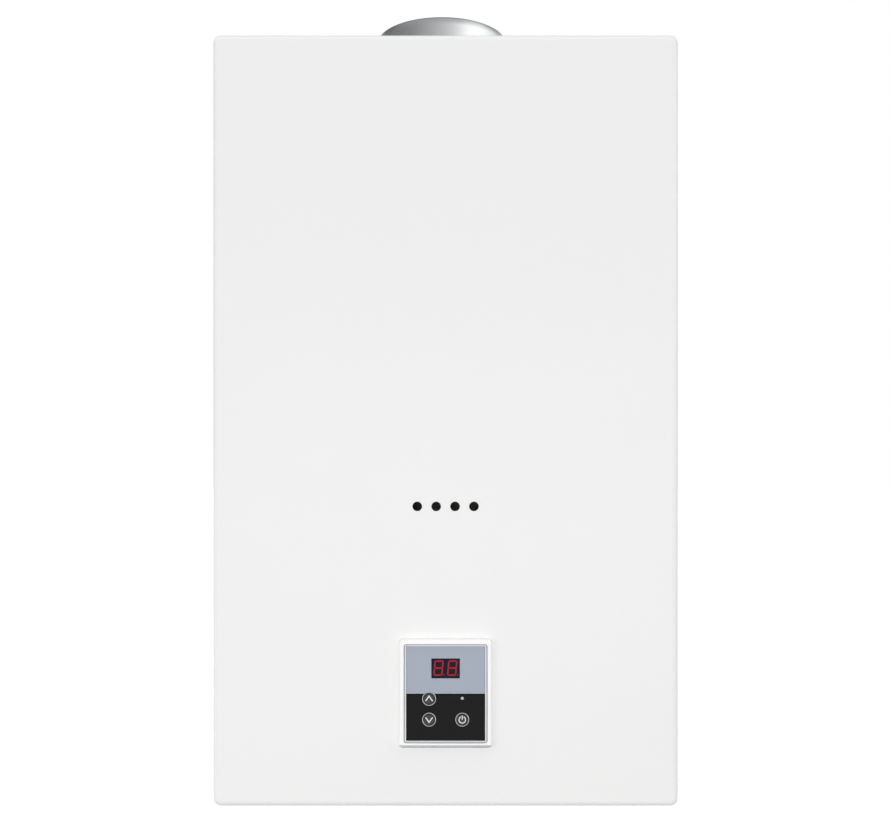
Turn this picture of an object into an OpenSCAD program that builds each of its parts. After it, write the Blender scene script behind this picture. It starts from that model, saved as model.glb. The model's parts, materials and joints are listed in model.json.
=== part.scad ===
// Tankless gas water heater, wall hung, with its burner, heat exchanger, valves and control panel.
// X runs to the right, Y towards the wall and Z up, all in millimetres.
// The origin is midway between the two upper fixing holes, on the wall plane.

/* [Case] */
// Width across the front
case_w = 350; // [340:1:380]
// Height of the front
case_h = 580; // [575:1:620]
// Distance from the wall to the centre of the flue
flue_wall = 75; // [68:1:90]
// Radius of the four corners seen from the front
corner_r = 6; // [5.5:0.5:10]
// Radius of the pressed edge round the front face
edge_r = 5; // [3.5:0.5:5.5]
// Thickness of the case sheet
sheet = 1; // [0.7:0.1:1.2]
// Gap from the front cover's rear edge to the wall
rear_gap = 10; // [6:1:14]
// Height of the upper fixing holes above the case
hang_h = 14; // [10:1:18]
// Distance between the two upper fixing holes
hang_pitch = 180; // [150:5:220]
// Radius of the wall fixing holes
hang_r = 3.5; // [2.5:0.5:4.5]

/* [Flue] */
// Outer radius of the flue collar
flue_r = 55; // [50:1:56]
// Distance of the flue from the middle, negative to the left
flue_x = -3.2; // [-8:0.1:8]
// Distance from the front face back to the centre of the flue
flue_back = 90; // [88:1:95]
// Height of the collar above the case
flue_h = 28.1; // [20:0.1:60]
// Width of the collar's flat flange
flange_w = 11; // [10:0.5:14]

/* [Heat exchanger] */
// Half depth of the combustion chamber
chamber_y = 48; // [44:1:52]
// Height of the chamber's lower edge above the case bottom
chamber_z = 196; // [190:1:205]
// Height of the chamber
chamber_h = 150; // [145:1:165]
// Height of the finned block
fin_h = 50; // [44:1:60]
// Number of fins
fin_count = 36; // [24:1:40]
// Radius of the water pipes
pipe_r = 6; // [5.5:0.5:6.5]
// Radius of the tubes through the fins
tube_r = 7; // [6.8:0.1:7.5]

/* [Gas] */
// Number of burner blades
blade_count = 12; // [8:1:12]
// Spacing of the burner blades
blade_pitch = 17; // [16:0.5:17.5]
// Radius of the gas manifold
manifold_r = 8; // [7:0.5:9]
// Distance of the gas inlet from the middle, negative to the left
gas_x = -20; // [-26:1:-16]
// Travel of the main gas valve's plunger
plunger_travel = 3; // [2:0.5:3.5]

/* [Water] */
// Sideways step of the cold pipe, from its inlet to the coil
pipe_step = 21.5; // [18:0.1:30]
// Radius over the threads of the three connections
thread_r = 10.48; // [10.2:0.02:10.6]
// Length of the connections below the case
stub_h = 28; // [24:1:34]

/* [Control panel] */
// Width of the panel's white surround
panel_w = 69.2; // [66:0.1:76]
// Height of the panel's white surround
panel_h = 81.6; // [79:0.1:90]
// Height of the panel's centre above the case bottom
panel_z = 87.1; // [80:0.1:92]
// How far the white surround stands proud of the cover
panel_out = 5.2; // [4.6:0.1:7]
// Radius of the key caps
key_r = 4; // [3:0.1:4.2]
// Travel of the keys
key_travel = 0.8; // [0.4:0.1:1]
// Radius of the four sight holes
sight_r = 3.6; // [2.5:0.1:5]
// Spacing of the sight holes
sight_pitch = 14.15; // [12:0.05:16]
// Height of the sight holes above the case bottom
sight_z = 225.8; // [220:0.1:230]

/* [Hidden] */
$fn = 48;
// Clearances between pieces that fit into one another
slip = 0.5;
snug = 0.1;
free_gap = 0.3;
solder_gap = 0.05;
// Planes and levels
case_d = flue_wall + flue_back;
front_y = -case_d;
mid_y = -flue_wall;
base_z = -hang_h - case_h;
inner_y = front_y + sheet;
plate_z = 2 * sheet + slip;
floor_z = plate_z + sheet;
// Back plate
pan_w = case_w - 2 * (sheet + slip);
pan_h = case_h - 2 * (sheet + slip);
pan_lip = 25;
rib_x = case_w / 2 - 45;
tab_w = hang_pitch + 50;
low_hole = 11;
// Flue
flange_r = flue_r + flange_w;
collar_bead = 1.6;
gasket_t = 1.5;
collar_t = 1;
collar_neck = flue_r - 0.8;
spigot_r = collar_neck - collar_t - slip;
// Burner rack and heat exchanger
rack_x = blade_count * blade_pitch / 2 - 1;
chamber_x = rack_x + 6;
burner_front = chamber_y - 4;
exchanger_z = chamber_z + chamber_h;
hood_z = exchanger_z + fin_h;
tube_z = exchanger_z + fin_h / 2;
tube_pitch = (chamber_y - 12) / 2;
tube_rows = [-2, -1, 0, 1, 2];
tube_end = chamber_x + 12;
wall = 1;
coil_gap = 1.5;
coil_x = chamber_x + pipe_r + coil_gap;
coil_y = chamber_y + pipe_r + coil_gap;
coil_z = sight_z + 30;
coil_top = exchanger_z - 11;
coil_rise = 20;
coil_step = (coil_top - coil_rise - coil_z) / 2;
coil_out = tube_end + 13;
coil_bend = 1.4 * pipe_r;
hood_x = chamber_x + 2;
hood_y = flue_r + 1;
hood_skirt = 30;
hood_top = case_h - 60;
// Burner
mouth_z = chamber_z - 51;
manifold_y = mid_y - chamber_y - manifold_r - 8;
land_y = manifold_y + manifold_r + 0.5;
// Gas valve
valve_z0 = chamber_z - 146;
valve_z1 = valve_z0 + 38;
valve_x0 = gas_x - 30;
valve_x1 = gas_x + 34;
main_x = gas_x - 15;
mod_x = gas_x + 20;
solenoid_r = 14;
solenoid_h = 28;
plunger_r = 5;
seat_z = valve_z1 - 10;
plunger_top = valve_z1 + 20;
feed_x = valve_x0 - 22;
feed_z = valve_z0 + 18;
cable_z = valve_z1 + 37;
// Water side
water_x = coil_x - pipe_step;
joint_z = chamber_z - 72;
nut_r = 15;
nut_z = plate_z - 6;
neck_r = thread_r - 0.8;
flow_z = 26;
spindle_r = 1;
run_gap = 0.05;
body_top = 58;
outlet_top = 40;
union_h = 10;
cold_turn_z = (body_top + union_h + joint_z - 7) / 2;
hot_x = -tube_end - 18;
hot_turn_z = outlet_top + 32;
drain_x = water_x + 33;
// Control panel planes, from the front backwards
bezel_side = 3.4;
bezel_top = 3;
bezel_foot = 4.8;
bezel_face = 1.1;
bezel_r = 3.2;
bezel_lip = 0.6;
view_w = panel_w - 2 * bezel_side;
view_h = panel_h - bezel_top - bezel_foot;
view_r = 2.1;
frame_w = 1.75;
bezel_y = front_y - panel_out;
frame_y = bezel_y + 0.8;
fascia_y = bezel_y + 1.4;
fascia_t = 2;
chassis_y = fascia_y + fascia_t;
board_y = bezel_y + 13.2;
board_t = 1.6;
board_x = view_w / 2 - 3.7;
board_z = view_h / 2 - 3.9;
key_y = bezel_y + 0.7;
seam_z = 0.2;
seam_mid = 0.12;
ring_r = key_r + 1.1;
up_at = [-12.3, -4];
down_at = [-12.3, -19.5];
power_at = [12.4, -19.5];
status_at = [12.4, -3.7];
display_at = [0, 18.5];
display_size = [21.3, 14.9];

// Everything is drawn with heights measured from the case bottom, then lowered into place
module seat() translate([0, 0, base_z]) children();

module block(a, b) translate(a) cube(b - a);

module rod_x(p, r, h) translate(p) rotate([0, 90, 0]) cylinder(h = h, r = r);

module rod_y(p, r, h) translate(p) rotate([-90, 0, 0]) cylinder(h = h, r = r);

module rod_z(p, r, h) translate(p) cylinder(h = h, r = r);

module hex_z(p, r, h) translate(p) cylinder(h = h, r = r, $fn = 6);

// Round-cornered slab lying in the XZ plane, from y0 to y1
module slab(half_x, half_z, r, y0, y1, mid_z = 0) {
    block([-half_x + r, y0, mid_z - half_z], [half_x - r, y1, mid_z + half_z]);
    block([-half_x, y0, mid_z - half_z + r], [half_x, y1, mid_z + half_z - r]);
    for (sx = [-1, 1], sz = [-1, 1])
        rod_y([sx * (half_x - r), y0, mid_z + sz * (half_z - r)], r, y1 - y0);
}

// Slot with round ends through a sheet lying in the XZ plane
module slot_y(x, z0, z1, r, y0, y1) {
    block([x - r, y0, z0], [x + r, y1, z1]);
    rod_y([x, y0, z0], r, y1 - y0);
    rod_y([x, y0, z1], r, y1 - y0);
}

// Profile carried round a rectangle with round corners
// The profile's x is 0 at the corner centres and r on the outside
module sweep_round(w, h, r) {
    for (side = [[0, w, h], [90, h, w], [180, w, h], [270, h, w]]) {
        run = side[2] - 2 * r;
        rotate(side[0]) translate([side[1] / 2 - r, 0, 0]) {
            translate([0, run / 2, 0]) rotate([90, 0, 0]) linear_extrude(run) children();
            translate([0, run / 2, 0]) rotate_extrude(angle = 90) children();
        }
    }
}

// Drawn sheet tray, open towards +Z
module tray(w, h, r, bend, t, depth) {
    translate([r - w / 2, r - h / 2, 0]) cube([w - 2 * r, h - 2 * r, t]);
    sweep_round(w, h, r) {
        square([r - bend, t]);
        translate([r - t, bend]) square([t, depth - bend]);
        translate([r - bend, bend]) difference() {
            intersection() {
                circle(bend);
                translate([0, -bend]) square(bend);
            }
            circle(bend - t);
        }
    }
}

module tube_section(r, bore) difference() {
    circle(r);
    circle(bore);
}

module straight(p, q, r, bore) {
    d = q - p;
    length = norm(d);
    translate(p) rotate([0, acos(d[2] / length), atan2(d[1], d[0])])
        linear_extrude(length) tube_section(r, bore);
}

module bend(p, u, v, r, bore, bend_r) {
    angle = acos(u * v);
    side = (v - (v * u) * u) / norm(v - (v * u) * u);
    up = cross(u, side);
    c = p + bend_r * (side - tan(angle / 2) * u);
    multmatrix([
        [-side[0], u[0], up[0], c[0]],
        [-side[1], u[1], up[1], c[1]],
        [-side[2], u[2], up[2], c[2]],
        [0, 0, 0, 1]
    ])
        rotate_extrude(angle = angle) translate([bend_r, 0]) tube_section(r, bore);
}

// Pipe through a list of points, bent to one radius at each turn
module pipe_run(points, r, bore, bend_r) {
    last = len(points) - 1;
    dirs = [for (i = [0:last - 1]) (points[i + 1] - points[i]) / norm(points[i + 1] - points[i])];
    trims = [for (i = [0:last])
        i == 0 || i == last ? 0 : bend_r * tan(acos(dirs[i - 1] * dirs[i]) / 2)];
    for (i = [0:last - 1])
        straight(points[i] + dirs[i] * trims[i], points[i + 1] - dirs[i] * trims[i + 1], r, bore);
    for (i = [1:last - 1])
        if (trims[i] > 0) bend(points[i], dirs[i - 1], dirs[i], r, bore, bend_r);
}

// Upright rectangular duct of sheet
module duct(half_x, half_y, z0, z1, t) difference() {
    block([-half_x, mid_y - half_y, z0], [half_x, mid_y + half_y, z1]);
    block([t - half_x, mid_y - half_y + t, z0 - 1], [half_x - t, mid_y + half_y - t, z1 + 1]);
}

// Screw with a shallow round head, pointing down from its head
module screw(head_r, head_h, shank_r, shank_h) {
    cylinder(h = head_h * 0.5, r = head_r);
    translate([0, 0, head_h * 0.5]) cylinder(h = head_h * 0.5, r1 = head_r, r2 = head_r * 0.7);
    translate([0, 0, -shank_h]) cylinder(h = shank_h, r = shank_r);
}

// Case
module back_plate() color("gainsboro") seat() {
    difference() {
        union() {
            translate([0, 0, case_h / 2]) rotate([90, 0, 0])
                tray(pan_w, pan_h, corner_r - sheet - slip, 3, sheet, pan_lip);
            block([-tab_w / 2, -sheet, case_h - 20], [tab_w / 2, 0, case_h + 2 * hang_h]);
            block([-tab_w / 2, -sheet, -2 * low_hole], [tab_w / 2, 0, 20]);
            for (sx = [-1, 1]) rib(sx * rib_x, 7, 4, 0);
        }
        for (sx = [-1, 1]) {
            rod_y([sx * hang_pitch / 2, -9, case_h + hang_h], hang_r, 10);
            rod_y([sx * hang_pitch / 2, -9, -low_hole], hang_r, 10);
            for (z = screw_levels())
                rod_x([sx * pan_w / 2 - 5, screw_y(), z], 2, 10);
        }
        rod_y([0, -9, case_h + hang_h - 5], 5, 10);
        slot_y(0, case_h + hang_h - 5, case_h + hang_h + 5, 2.5, -9, 1);
        rod_z([flue_x, mid_y, case_h - 10], flue_r + 2, 15);
        for (sx = [-1, 1]) rib(sx * rib_x, 7 - sheet, 4 - sheet, 1);
    }
}

// Long pressed rib of the back plate, as a solid bar
module rib(x, half, depth, y1) {
    y0 = -depth;
    z0 = 80;
    z1 = case_h - 80;
    block([x - half, y0, z0], [x + half, y1, z1]);
    rod_y([x, y0, z0], half, y1 - y0);
    rod_y([x, y0, z1], half, y1 - y0);
}

function screw_levels() = [40, case_h - 40];

function screw_y() = -rear_gap - 7;

module front_cover() color("white") seat() difference() {
    translate([0, front_y, case_h / 2]) rotate([-90, 0, 0])
        tray(case_w, case_h, corner_r, edge_r, sheet, case_d - rear_gap);
    slab(view_w / 2 - 0.2, view_h / 2 - 0.2, 1.8, front_y - 1, inner_y + 1, panel_z);
    for (i = [-1.5, -0.5, 0.5, 1.5])
        rod_y([i * sight_pitch, front_y - 1, sight_z], sight_r, sheet + 2);
    rod_z([flue_x, mid_y, case_h - 5], flue_r + 2, 10);
    block([15 - case_w / 2, front_y + 15, -1], [case_w / 2 - 15, 1, 2 * sheet]);
    for (sx = [-1, 1], z = screw_levels())
        rod_x([sx * case_w / 2 - 5, screw_y(), z], 2.3, 10);
    for (sx = [-1, 1], ix = [-1, 1])
        rod_z([flue_x + sx * screw_ring(), mid_y + ix * screw_ring(), case_h - 5], 2.2, 10);
}

function screw_ring() = (flange_r - 4.5) * sin(45);

module bottom_plate() color("gainsboro") seat() difference() {
    union() {
        block([-case_w / 2 + 7, inner_y + 6, plate_z], [case_w / 2 - 7, -sheet - 4, floor_z]);
        block([-case_w / 2 + 7, inner_y + 6, plate_z], [case_w / 2 - 7, inner_y + 6 + sheet, floor_z + 10]);
    }
    for (x = [-water_x, gas_x, water_x]) rod_z([x, mid_y, -1], thread_r + 0.4, 9);
    rod_z([drain_x, mid_y, -1], 7, 9);
    rod_z([gland_x(), gland_y(), -1], 8.1, 9);
    for (i = [-9:9], y = [mid_y + 24, mid_y - 62])
        if (y < mid_y || abs(i) > 3)
            block([i * 16 - 2, y, -1], [i * 16 + 2, y + 26, 9]);
}

function gland_x() = 46;

function gland_y() = mid_y - 20;

module brackets() color("silver") seat() {
    for (z = [chamber_z + 4, exchanger_z + 6]) {
        block([-70, mid_y + chamber_y, z], [70, -sheet, z + 1.5]);
        block([-70, mid_y + chamber_y, z], [70, mid_y + chamber_y + 1.5, z + 20]);
        block([-70, -sheet - 1.5, z], [70, -sheet, z + 20]);
    }
    block([valve_x0 + 6, mid_y + 30, valve_z0 + 8], [valve_x1 - 6, -sheet, valve_z0 + 9.5]);
    block([valve_x0 + 6, mid_y + 30, valve_z0 + 8], [valve_x1 - 6, mid_y + 31.5, valve_z0 + 30]);
    block([valve_x0 + 6, -sheet - 1.5, valve_z0 + 8], [valve_x1 - 6, -sheet, valve_z0 + 30]);
}

module screws() color("silver") seat() {
    for (sx = [-1, 1], z = screw_levels())
        translate([sx * case_w / 2, screw_y(), z]) rotate([0, sx * 90, 0]) screw(4, 2.4, 1.9, 6);
    for (sx = [-1, 1], ix = [-1, 1])
        translate([flue_x + sx * screw_ring(), mid_y + ix * screw_ring(), case_h + gasket_t + collar_t])
            screw(3.6, 2.2, 1.9, 7);
    for (x = [main_x, mod_x], sx = [-1, 1], sy = [-1, 1])
        translate([x + sx * 12.5, mid_y + sy * 12.5, valve_z1 + 2]) screw(2.7, 1.8, 1.45, 8);
}

module sight_window() color("lightblue") seat()
    block([-2.25 * sight_pitch, inner_y, sight_z - 9], [2.25 * sight_pitch, inner_y + 1, sight_z + 9]);

module sight_clip() color("silver") seat() {
    half = 2.25 * sight_pitch;
    difference() {
        block([-half - 4, inner_y + 1, sight_z - 12], [half + 4, inner_y + 2, sight_z + 12]);
        block([-half + 3, inner_y, sight_z - 6], [half - 3, inner_y + 3, sight_z + 6]);
    }
    for (sx = [-1, 1])
        block([sx > 0 ? half + 1 : -half - 4, inner_y, sight_z - 12],
            [sx > 0 ? half + 4 : -half - 1, inner_y + 1, sight_z + 12]);
}

// Flue
module flue_collar() color("silver") seat() translate([flue_x, mid_y, 0]) {
    top = case_h + flue_h;
    foot = case_h + gasket_t + collar_t + slip;
    rotate_extrude() {
        translate([collar_neck - collar_t, case_h - 14]) square([collar_t, foot + 1 - case_h + 14]);
        translate([flue_r - collar_t, foot]) square([collar_t, top - collar_bead - foot]);
        translate([flue_r - collar_t, case_h + gasket_t]) square([collar_t + 0.5, collar_t]);
        translate([flue_r - collar_bead, top - collar_bead]) circle(collar_bead);
    }
    difference() {
        translate([0, 0, case_h + gasket_t]) cylinder(h = collar_t, r = flange_r);
        translate([0, 0, case_h]) cylinder(h = 5, r = collar_neck - collar_t / 2);
        for (sx = [-1, 1], sy = [-1, 1])
            translate([sx * screw_ring(), sy * screw_ring(), case_h]) cylinder(h = 5, r = 2.1);
    }
}

module flue_gasket() color("dimgray") seat() translate([flue_x, mid_y, 0]) difference() {
    translate([0, 0, case_h]) cylinder(h = gasket_t, r = flange_r - 0.5);
    translate([0, 0, case_h - 1]) cylinder(h = 5, r = collar_neck + slip);
    for (sx = [-1, 1], sy = [-1, 1])
        translate([sx * screw_ring(), sy * screw_ring(), case_h - 1]) cylinder(h = 5, r = 2.1);
}

// Outline of the hood seen from the front, inset by a wall thickness
module hood_outline(t) polygon([
    [-hood_x + t, hood_z + t],
    [hood_x - t, hood_z + t],
    [hood_x - t, hood_z + hood_skirt],
    [flue_x + flue_r + 3 - t, hood_top - t],
    [flue_x - flue_r - 3 + t, hood_top - t],
    [-hood_x + t, hood_z + hood_skirt]
]);

module draught_hood() color("silver") seat() {
    difference() {
        translate([0, mid_y + hood_y, 0]) rotate([90, 0, 0]) linear_extrude(2 * hood_y) hood_outline(0);
        translate([0, mid_y + hood_y - wall, 0]) rotate([90, 0, 0])
            linear_extrude(2 * hood_y - 2 * wall) hood_outline(wall);
        block([wall - chamber_x, mid_y - chamber_y + wall, hood_z - 1],
            [chamber_x - wall, mid_y + chamber_y - wall, hood_z + 2]);
        rod_z([flue_x, mid_y, hood_top - 5], spigot_r - 1, 10);
        block([-80, mid_y - hood_y - 1, hood_z + 8], [0, mid_y - hood_y + 2, hood_z + 18]);
    }
    difference() {
        rod_z([flue_x, mid_y, hood_top], spigot_r, case_h - hood_top - sheet - 2);
        rod_z([flue_x, mid_y, hood_top - 1], spigot_r - 1, case_h);
    }
}

module thermostat(x, y, z) {
    rod_y([x, y - 1, z], 9, 1);
    rod_y([x, y - 9, z], 7.5, 8);
    for (s = [-1, 1]) block([x + s * 3.5 - 0.4, y - 17, z - 2.5], [x + s * 3.5 + 0.4, y - 9, z + 2.5]);
}

module thermostats() color("dimgray") seat() {
    thermostat(40, mid_y - hood_y, hood_z + 15);
    thermostat(60, mid_y - chamber_y, tube_z);
}

// Heat exchanger
module exchanger_shell() color("peru") seat() difference() {
    duct(chamber_x, chamber_y, exchanger_z, hood_z, wall);
    for (i = tube_rows)
        rod_x([-chamber_x - 1, mid_y + i * tube_pitch, tube_z], tube_r + solder_gap, 2 * chamber_x + 2);
}

module exchanger_fins() color("peru") seat() {
    span = 2 * (chamber_x - wall) - 10;
    for (k = [0:fin_count - 1]) {
        x = -span / 2 + k * span / (fin_count - 1);
        difference() {
            block([x - 0.3, mid_y - chamber_y + wall + snug, exchanger_z + 2],
                [x + 0.3, mid_y + chamber_y - wall - snug, hood_z - 2]);
            for (i = tube_rows)
                rod_x([x - 1, mid_y + i * tube_pitch, tube_z], tube_r + solder_gap, 2);
        }
    }
}

module exchanger_tubes() color("peru") seat() {
    bore = pipe_r + solder_gap;
    for (i = tube_rows)
        translate([-tube_end, mid_y + i * tube_pitch, tube_z]) rotate([0, 90, 0])
            linear_extrude(2 * tube_end) tube_section(tube_r, bore);
    for (i = [-2, 0])
        translate([tube_end, mid_y + (i + 0.5) * tube_pitch, tube_z]) u_bend(-90, bore);
    for (i = [-1, 1])
        translate([-tube_end, mid_y + (i + 0.5) * tube_pitch, tube_z]) u_bend(90, bore);
}

module u_bend(turn, bore) rotate([0, 0, turn])
    rotate_extrude(angle = 180) translate([tube_pitch / 2, 0]) tube_section(tube_r, bore);

module combustion_chamber() color("peru") seat() difference() {
    duct(chamber_x, chamber_y, chamber_z, exchanger_z, wall);
    block([-28, mid_y - chamber_y - 1, sight_z - 8], [28, mid_y - chamber_y + 3, sight_z + 8]);
    for (x = electrode_places())
        rod_y([x, mid_y - chamber_y - 1, electrode_z()], 3.4, 4);
}

module chamber_window() color("khaki") seat()
    block([-32, mid_y - chamber_y - 1, sight_z - 12], [32, mid_y - chamber_y, sight_z + 12]);

module jacket_coil() color("peru") seat() {
    f = mid_y - coil_y;
    b = mid_y + coil_y;
    z1 = coil_z;
    z2 = coil_z + coil_step;
    z3 = coil_z + 2 * coil_step;
    z4 = coil_top;
    a = coil_x;
    out_y = mid_y + 2 * tube_pitch;
    pipe_run([
        [a, mid_y, joint_z], [a, mid_y, z1], [a, f, z1], [-a, f, z1], [-a, b, z1], [60, b, z1],
        [60, b, z2], [a, b, z2], [a, f, z2], [-a, f, z2], [-a, b, z2], [10, b, z2],
        [10, b, z3], [a, b, z3], [a, f, z3], [-a, f, z3], [-a, b, z3], [-50, b, z3],
        [-50, b, z4], [coil_out, b, z4], [coil_out, b, tube_z], [coil_out, out_y, tube_z],
        [tube_end - 6, out_y, tube_z]
    ], pipe_r, pipe_r - 0.8, coil_bend);
}

// Burner
module blade(x) {
    difference() {
        translate([x + 4, mid_y, 0]) rotate([90, 0, -90]) mirror([1, 0, 0]) linear_extrude(8)
            polygon([
                [-burner_front, chamber_z], [burner_front, chamber_z], [burner_front, chamber_z - 28],
                [24, mouth_z + 1], [0, mouth_z - 7], [-burner_front, mouth_z - 8],
                [-burner_front, mouth_z + 8], [2, mouth_z + 12], [10, mouth_z + 18],
                [2, chamber_z - 22], [-burner_front, chamber_z - 20]
            ]);
        rod_y([x, mid_y - burner_front - 1, mouth_z], 3, 40);
        for (k = [-5:5])
            block([x - 3, mid_y + k * 7.6 - 1.1, chamber_z - 4], [x + 3, mid_y + k * 7.6 + 1.1, chamber_z + 1]);
    }
    difference() {
        rod_y([x, mid_y - burner_front - 4, mouth_z], 7.2, 4);
        rod_y([x, mid_y - burner_front - 5, mouth_z], 5.8, 6);
    }
}

function blade_places() = [for (i = [0:blade_count - 1]) (i - (blade_count - 1) / 2) * blade_pitch];

module burner_blades() color("silver") seat()
    for (x = blade_places()) blade(x);

module burner_frame() color("gainsboro") seat() {
    difference() {
        block([-chamber_x, mid_y - chamber_y, chamber_z - 2], [chamber_x, mid_y + chamber_y, chamber_z]);
        block([-rack_x, mid_y - burner_front, chamber_z - 5], [rack_x, mid_y + burner_front, chamber_z + 1]);
    }
    for (sy = [-1, 1])
        block([-rack_x - 2, sy > 0 ? mid_y + burner_front : mid_y - burner_front - 2, chamber_z - 18],
            [rack_x + 2, sy > 0 ? mid_y + burner_front + 2 : mid_y - burner_front, chamber_z - 2]);
    for (sx = [-1, 1]) difference() {
        union() {
            block([sx > 0 ? rack_x : -rack_x - 2, mid_y - burner_front - 2, mouth_z - 11],
                [sx > 0 ? rack_x + 2 : -rack_x, mid_y + burner_front + 2, chamber_z - 2]);
            block([sx > 0 ? rack_x : -rack_x - 2, manifold_y - manifold_r - 4, mouth_z - 11],
                [sx > 0 ? rack_x + 2 : -rack_x, mid_y - burner_front, mouth_z + 11]);
        }
        rod_x([sx > 0 ? rack_x - 2 : -rack_x - 4, manifold_y, mouth_z], manifold_r + solder_gap, 6);
    }
}

module gas_manifold() color("silver") seat() difference() {
    union() {
        rod_x([-rack_x - 5, manifold_y, mouth_z], manifold_r, 2 * rack_x + 10);
        block([-rack_x + 1, manifold_y + 2, mouth_z - 4.5], [rack_x - 1, land_y, mouth_z + 4.5]);
        pipe_run([
            [valve_x0 - 4, mid_y - 25, feed_z], [feed_x, mid_y - 25, feed_z],
            [feed_x, manifold_y, feed_z], [feed_x, manifold_y, mouth_z]
        ], manifold_r, 0, 12);
        rod_x([valve_x0 - 4, mid_y - 25, feed_z], 11, 4);
    }
    rod_x([-rack_x - 4, manifold_y, mouth_z], manifold_r - 1.5, 2 * rack_x + 8);
    for (x = blade_places()) rod_y([x, manifold_y, mouth_z], 2.55, manifold_r + 5);
}

module gas_nozzles() color("gold") seat() for (x = blade_places()) difference() {
    union() {
        rod_y([x, land_y - 3, mouth_z], 2.5, 3);
        translate([x, land_y, mouth_z]) rotate([-90, 0, 0]) cylinder(h = 3, r = 4.3, $fn = 6);
        rod_y([x, land_y + 3, mouth_z], 2.2, 2.5);
    }
    rod_y([x, land_y - 4, mouth_z], 0.6, 12);
}

function electrode_places() = [38, 54];

function electrode_z() = chamber_z + 12;

module electrodes() color("ivory") seat() for (x = electrode_places()) {
    rod_y([x, mid_y - chamber_y - 14, electrode_z()], 3, 24);
    rod_y([x, mid_y - chamber_y + 10, electrode_z()], 0.9, 16);
}

module electrode_bracket() color("silver") seat() difference() {
    union() {
        block([33.3, mid_y - chamber_y - 1.5, electrode_z() - 8], [60, mid_y - chamber_y, electrode_z() + 8]);
        block([33.3, mid_y - chamber_y - 8, electrode_z() + 6.5], [60, mid_y - chamber_y, electrode_z() + 8]);
        for (x = electrode_places()) rod_y([x, mid_y - chamber_y - 5, electrode_z()], 4.6, 4);
    }
    for (x = electrode_places())
        rod_y([x, mid_y - chamber_y - 9, electrode_z()], 3 + solder_gap, 12);
}

// Gas valve
module gas_valve() color("lightgray") seat() difference() {
    union() {
        block([valve_x0, mid_y - 30, valve_z0 + 6], [valve_x1, mid_y + 30, valve_z1]);
        block([valve_x0 + 8, mid_y - 22, valve_z0], [valve_x1 - 8, mid_y + 22, valve_z0 + 6]);
        rod_y([mod_x, mid_y - 38, valve_z0 + 20], 10, 8);
    }
    for (x = [main_x, mod_x]) {
        rod_z([x, mid_y, seat_z - 12], 6, 20);
        rod_z([x, mid_y, seat_z], 9, 20);
        for (sx = [-1, 1], sy = [-1, 1])
            rod_z([x + sx * 12.5, mid_y + sy * 12.5, valve_z1 - 7], 1.5, 10);
    }
    rod_z([gas_x, mid_y, valve_z0 - 1], 8, 10);
}

module solenoid(x) difference() {
    union() {
        rod_z([x, mid_y, valve_z1], solenoid_r, solenoid_h);
        block([x - 16, mid_y - 16, valve_z1], [x + 16, mid_y + 16, valve_z1 + 2]);
        block([x - 5, mid_y - 18, valve_z1 + 8], [x + 5, mid_y - 10, valve_z1 + 20]);
    }
    rod_z([x, mid_y, valve_z1 - 1], plunger_r + free_gap,
        plunger_top + plunger_travel + free_gap - valve_z1 + 1);
    for (sx = [-1, 1], sy = [-1, 1])
        rod_z([x + sx * 12.5, mid_y + sy * 12.5, valve_z1 - 1], 1.5, 4);
    for (sx = [-1, 1], sy = [-1, 1])
        rod_z([x + sx * 12.5, mid_y + sy * 12.5, valve_z1 + 2], 2.9, solenoid_h);
}

module solenoid_coils() color("saddlebrown") seat() {
    solenoid(main_x);
    solenoid(mod_x);
}

module plunger(x) {
    rod_z([x, mid_y, seat_z + free_gap], 8, 2);
    rod_z([x, mid_y, seat_z + 2 + free_gap], plunger_r, plunger_top - seat_z - 2 - free_gap);
}

module main_plunger() color("gray") seat() plunger(main_x);

module modulator_plunger() color("gray") seat() plunger(mod_x);

// Threaded connection through the bottom plate, with its flange resting on the plate
module connection(x, top, body_r) {
    rod_z([x, mid_y, -stub_h], thread_r, stub_h + nut_z - slip);
    rod_z([x, mid_y, nut_z - slip], neck_r, floor_z - nut_z + slip);
    rod_z([x, mid_y, floor_z], 16, 3);
    rod_z([x, mid_y, floor_z + 3], body_r, top - floor_z - 3);
}

module gas_inlet() color("gold") seat() difference() {
    connection(gas_x, valve_z0, 11);
    rod_z([gas_x, mid_y, -stub_h - 1], 7, stub_h + valve_z0 + 2);
}

module water_inlet() color("gold") seat() {
    difference() {
        union() {
            connection(water_x, body_top, 15);
            rod_x([water_x + 13, mid_y, 16], 6, drain_x - water_x - 23);
        }
        rod_z([water_x, mid_y, -stub_h - 1], 8.2, stub_h + flow_z + 2);
        rod_z([water_x, mid_y, flow_z], 12, 20);
        rod_z([water_x, mid_y, flow_z], pipe_r + solder_gap, body_top);
        rod_x([water_x, mid_y, 16], 2.5, drain_x - water_x);
    }
    // Spindle of the flow rotor, on a bar across the bore at each end
    rod_z([water_x, mid_y, flow_z - 3], spindle_r, 25);
    block([water_x - 9, mid_y - 1, flow_z - 5], [water_x + 9, mid_y + 1, flow_z - 3]);
    block([water_x - 8, mid_y - 1, flow_z + 22], [water_x + 8, mid_y + 1, flow_z + 24]);
}

module inlet_filter() color("silver") seat() translate([water_x, mid_y, 0]) difference() {
    union() {
        translate([0, 0, -stub_h + 8]) cylinder(h = 18, r = 6.5);
        translate([0, 0, -stub_h + 6]) cylinder(h = 2, r = 8.1);
    }
    translate([0, 0, -stub_h + 5]) cylinder(h = 20, r = 5.9);
    for (k = [0:3]) rotate([0, 0, k * 45])
        translate([-9, -1, -stub_h + 10]) cube([18, 2, 12]);
}

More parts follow.
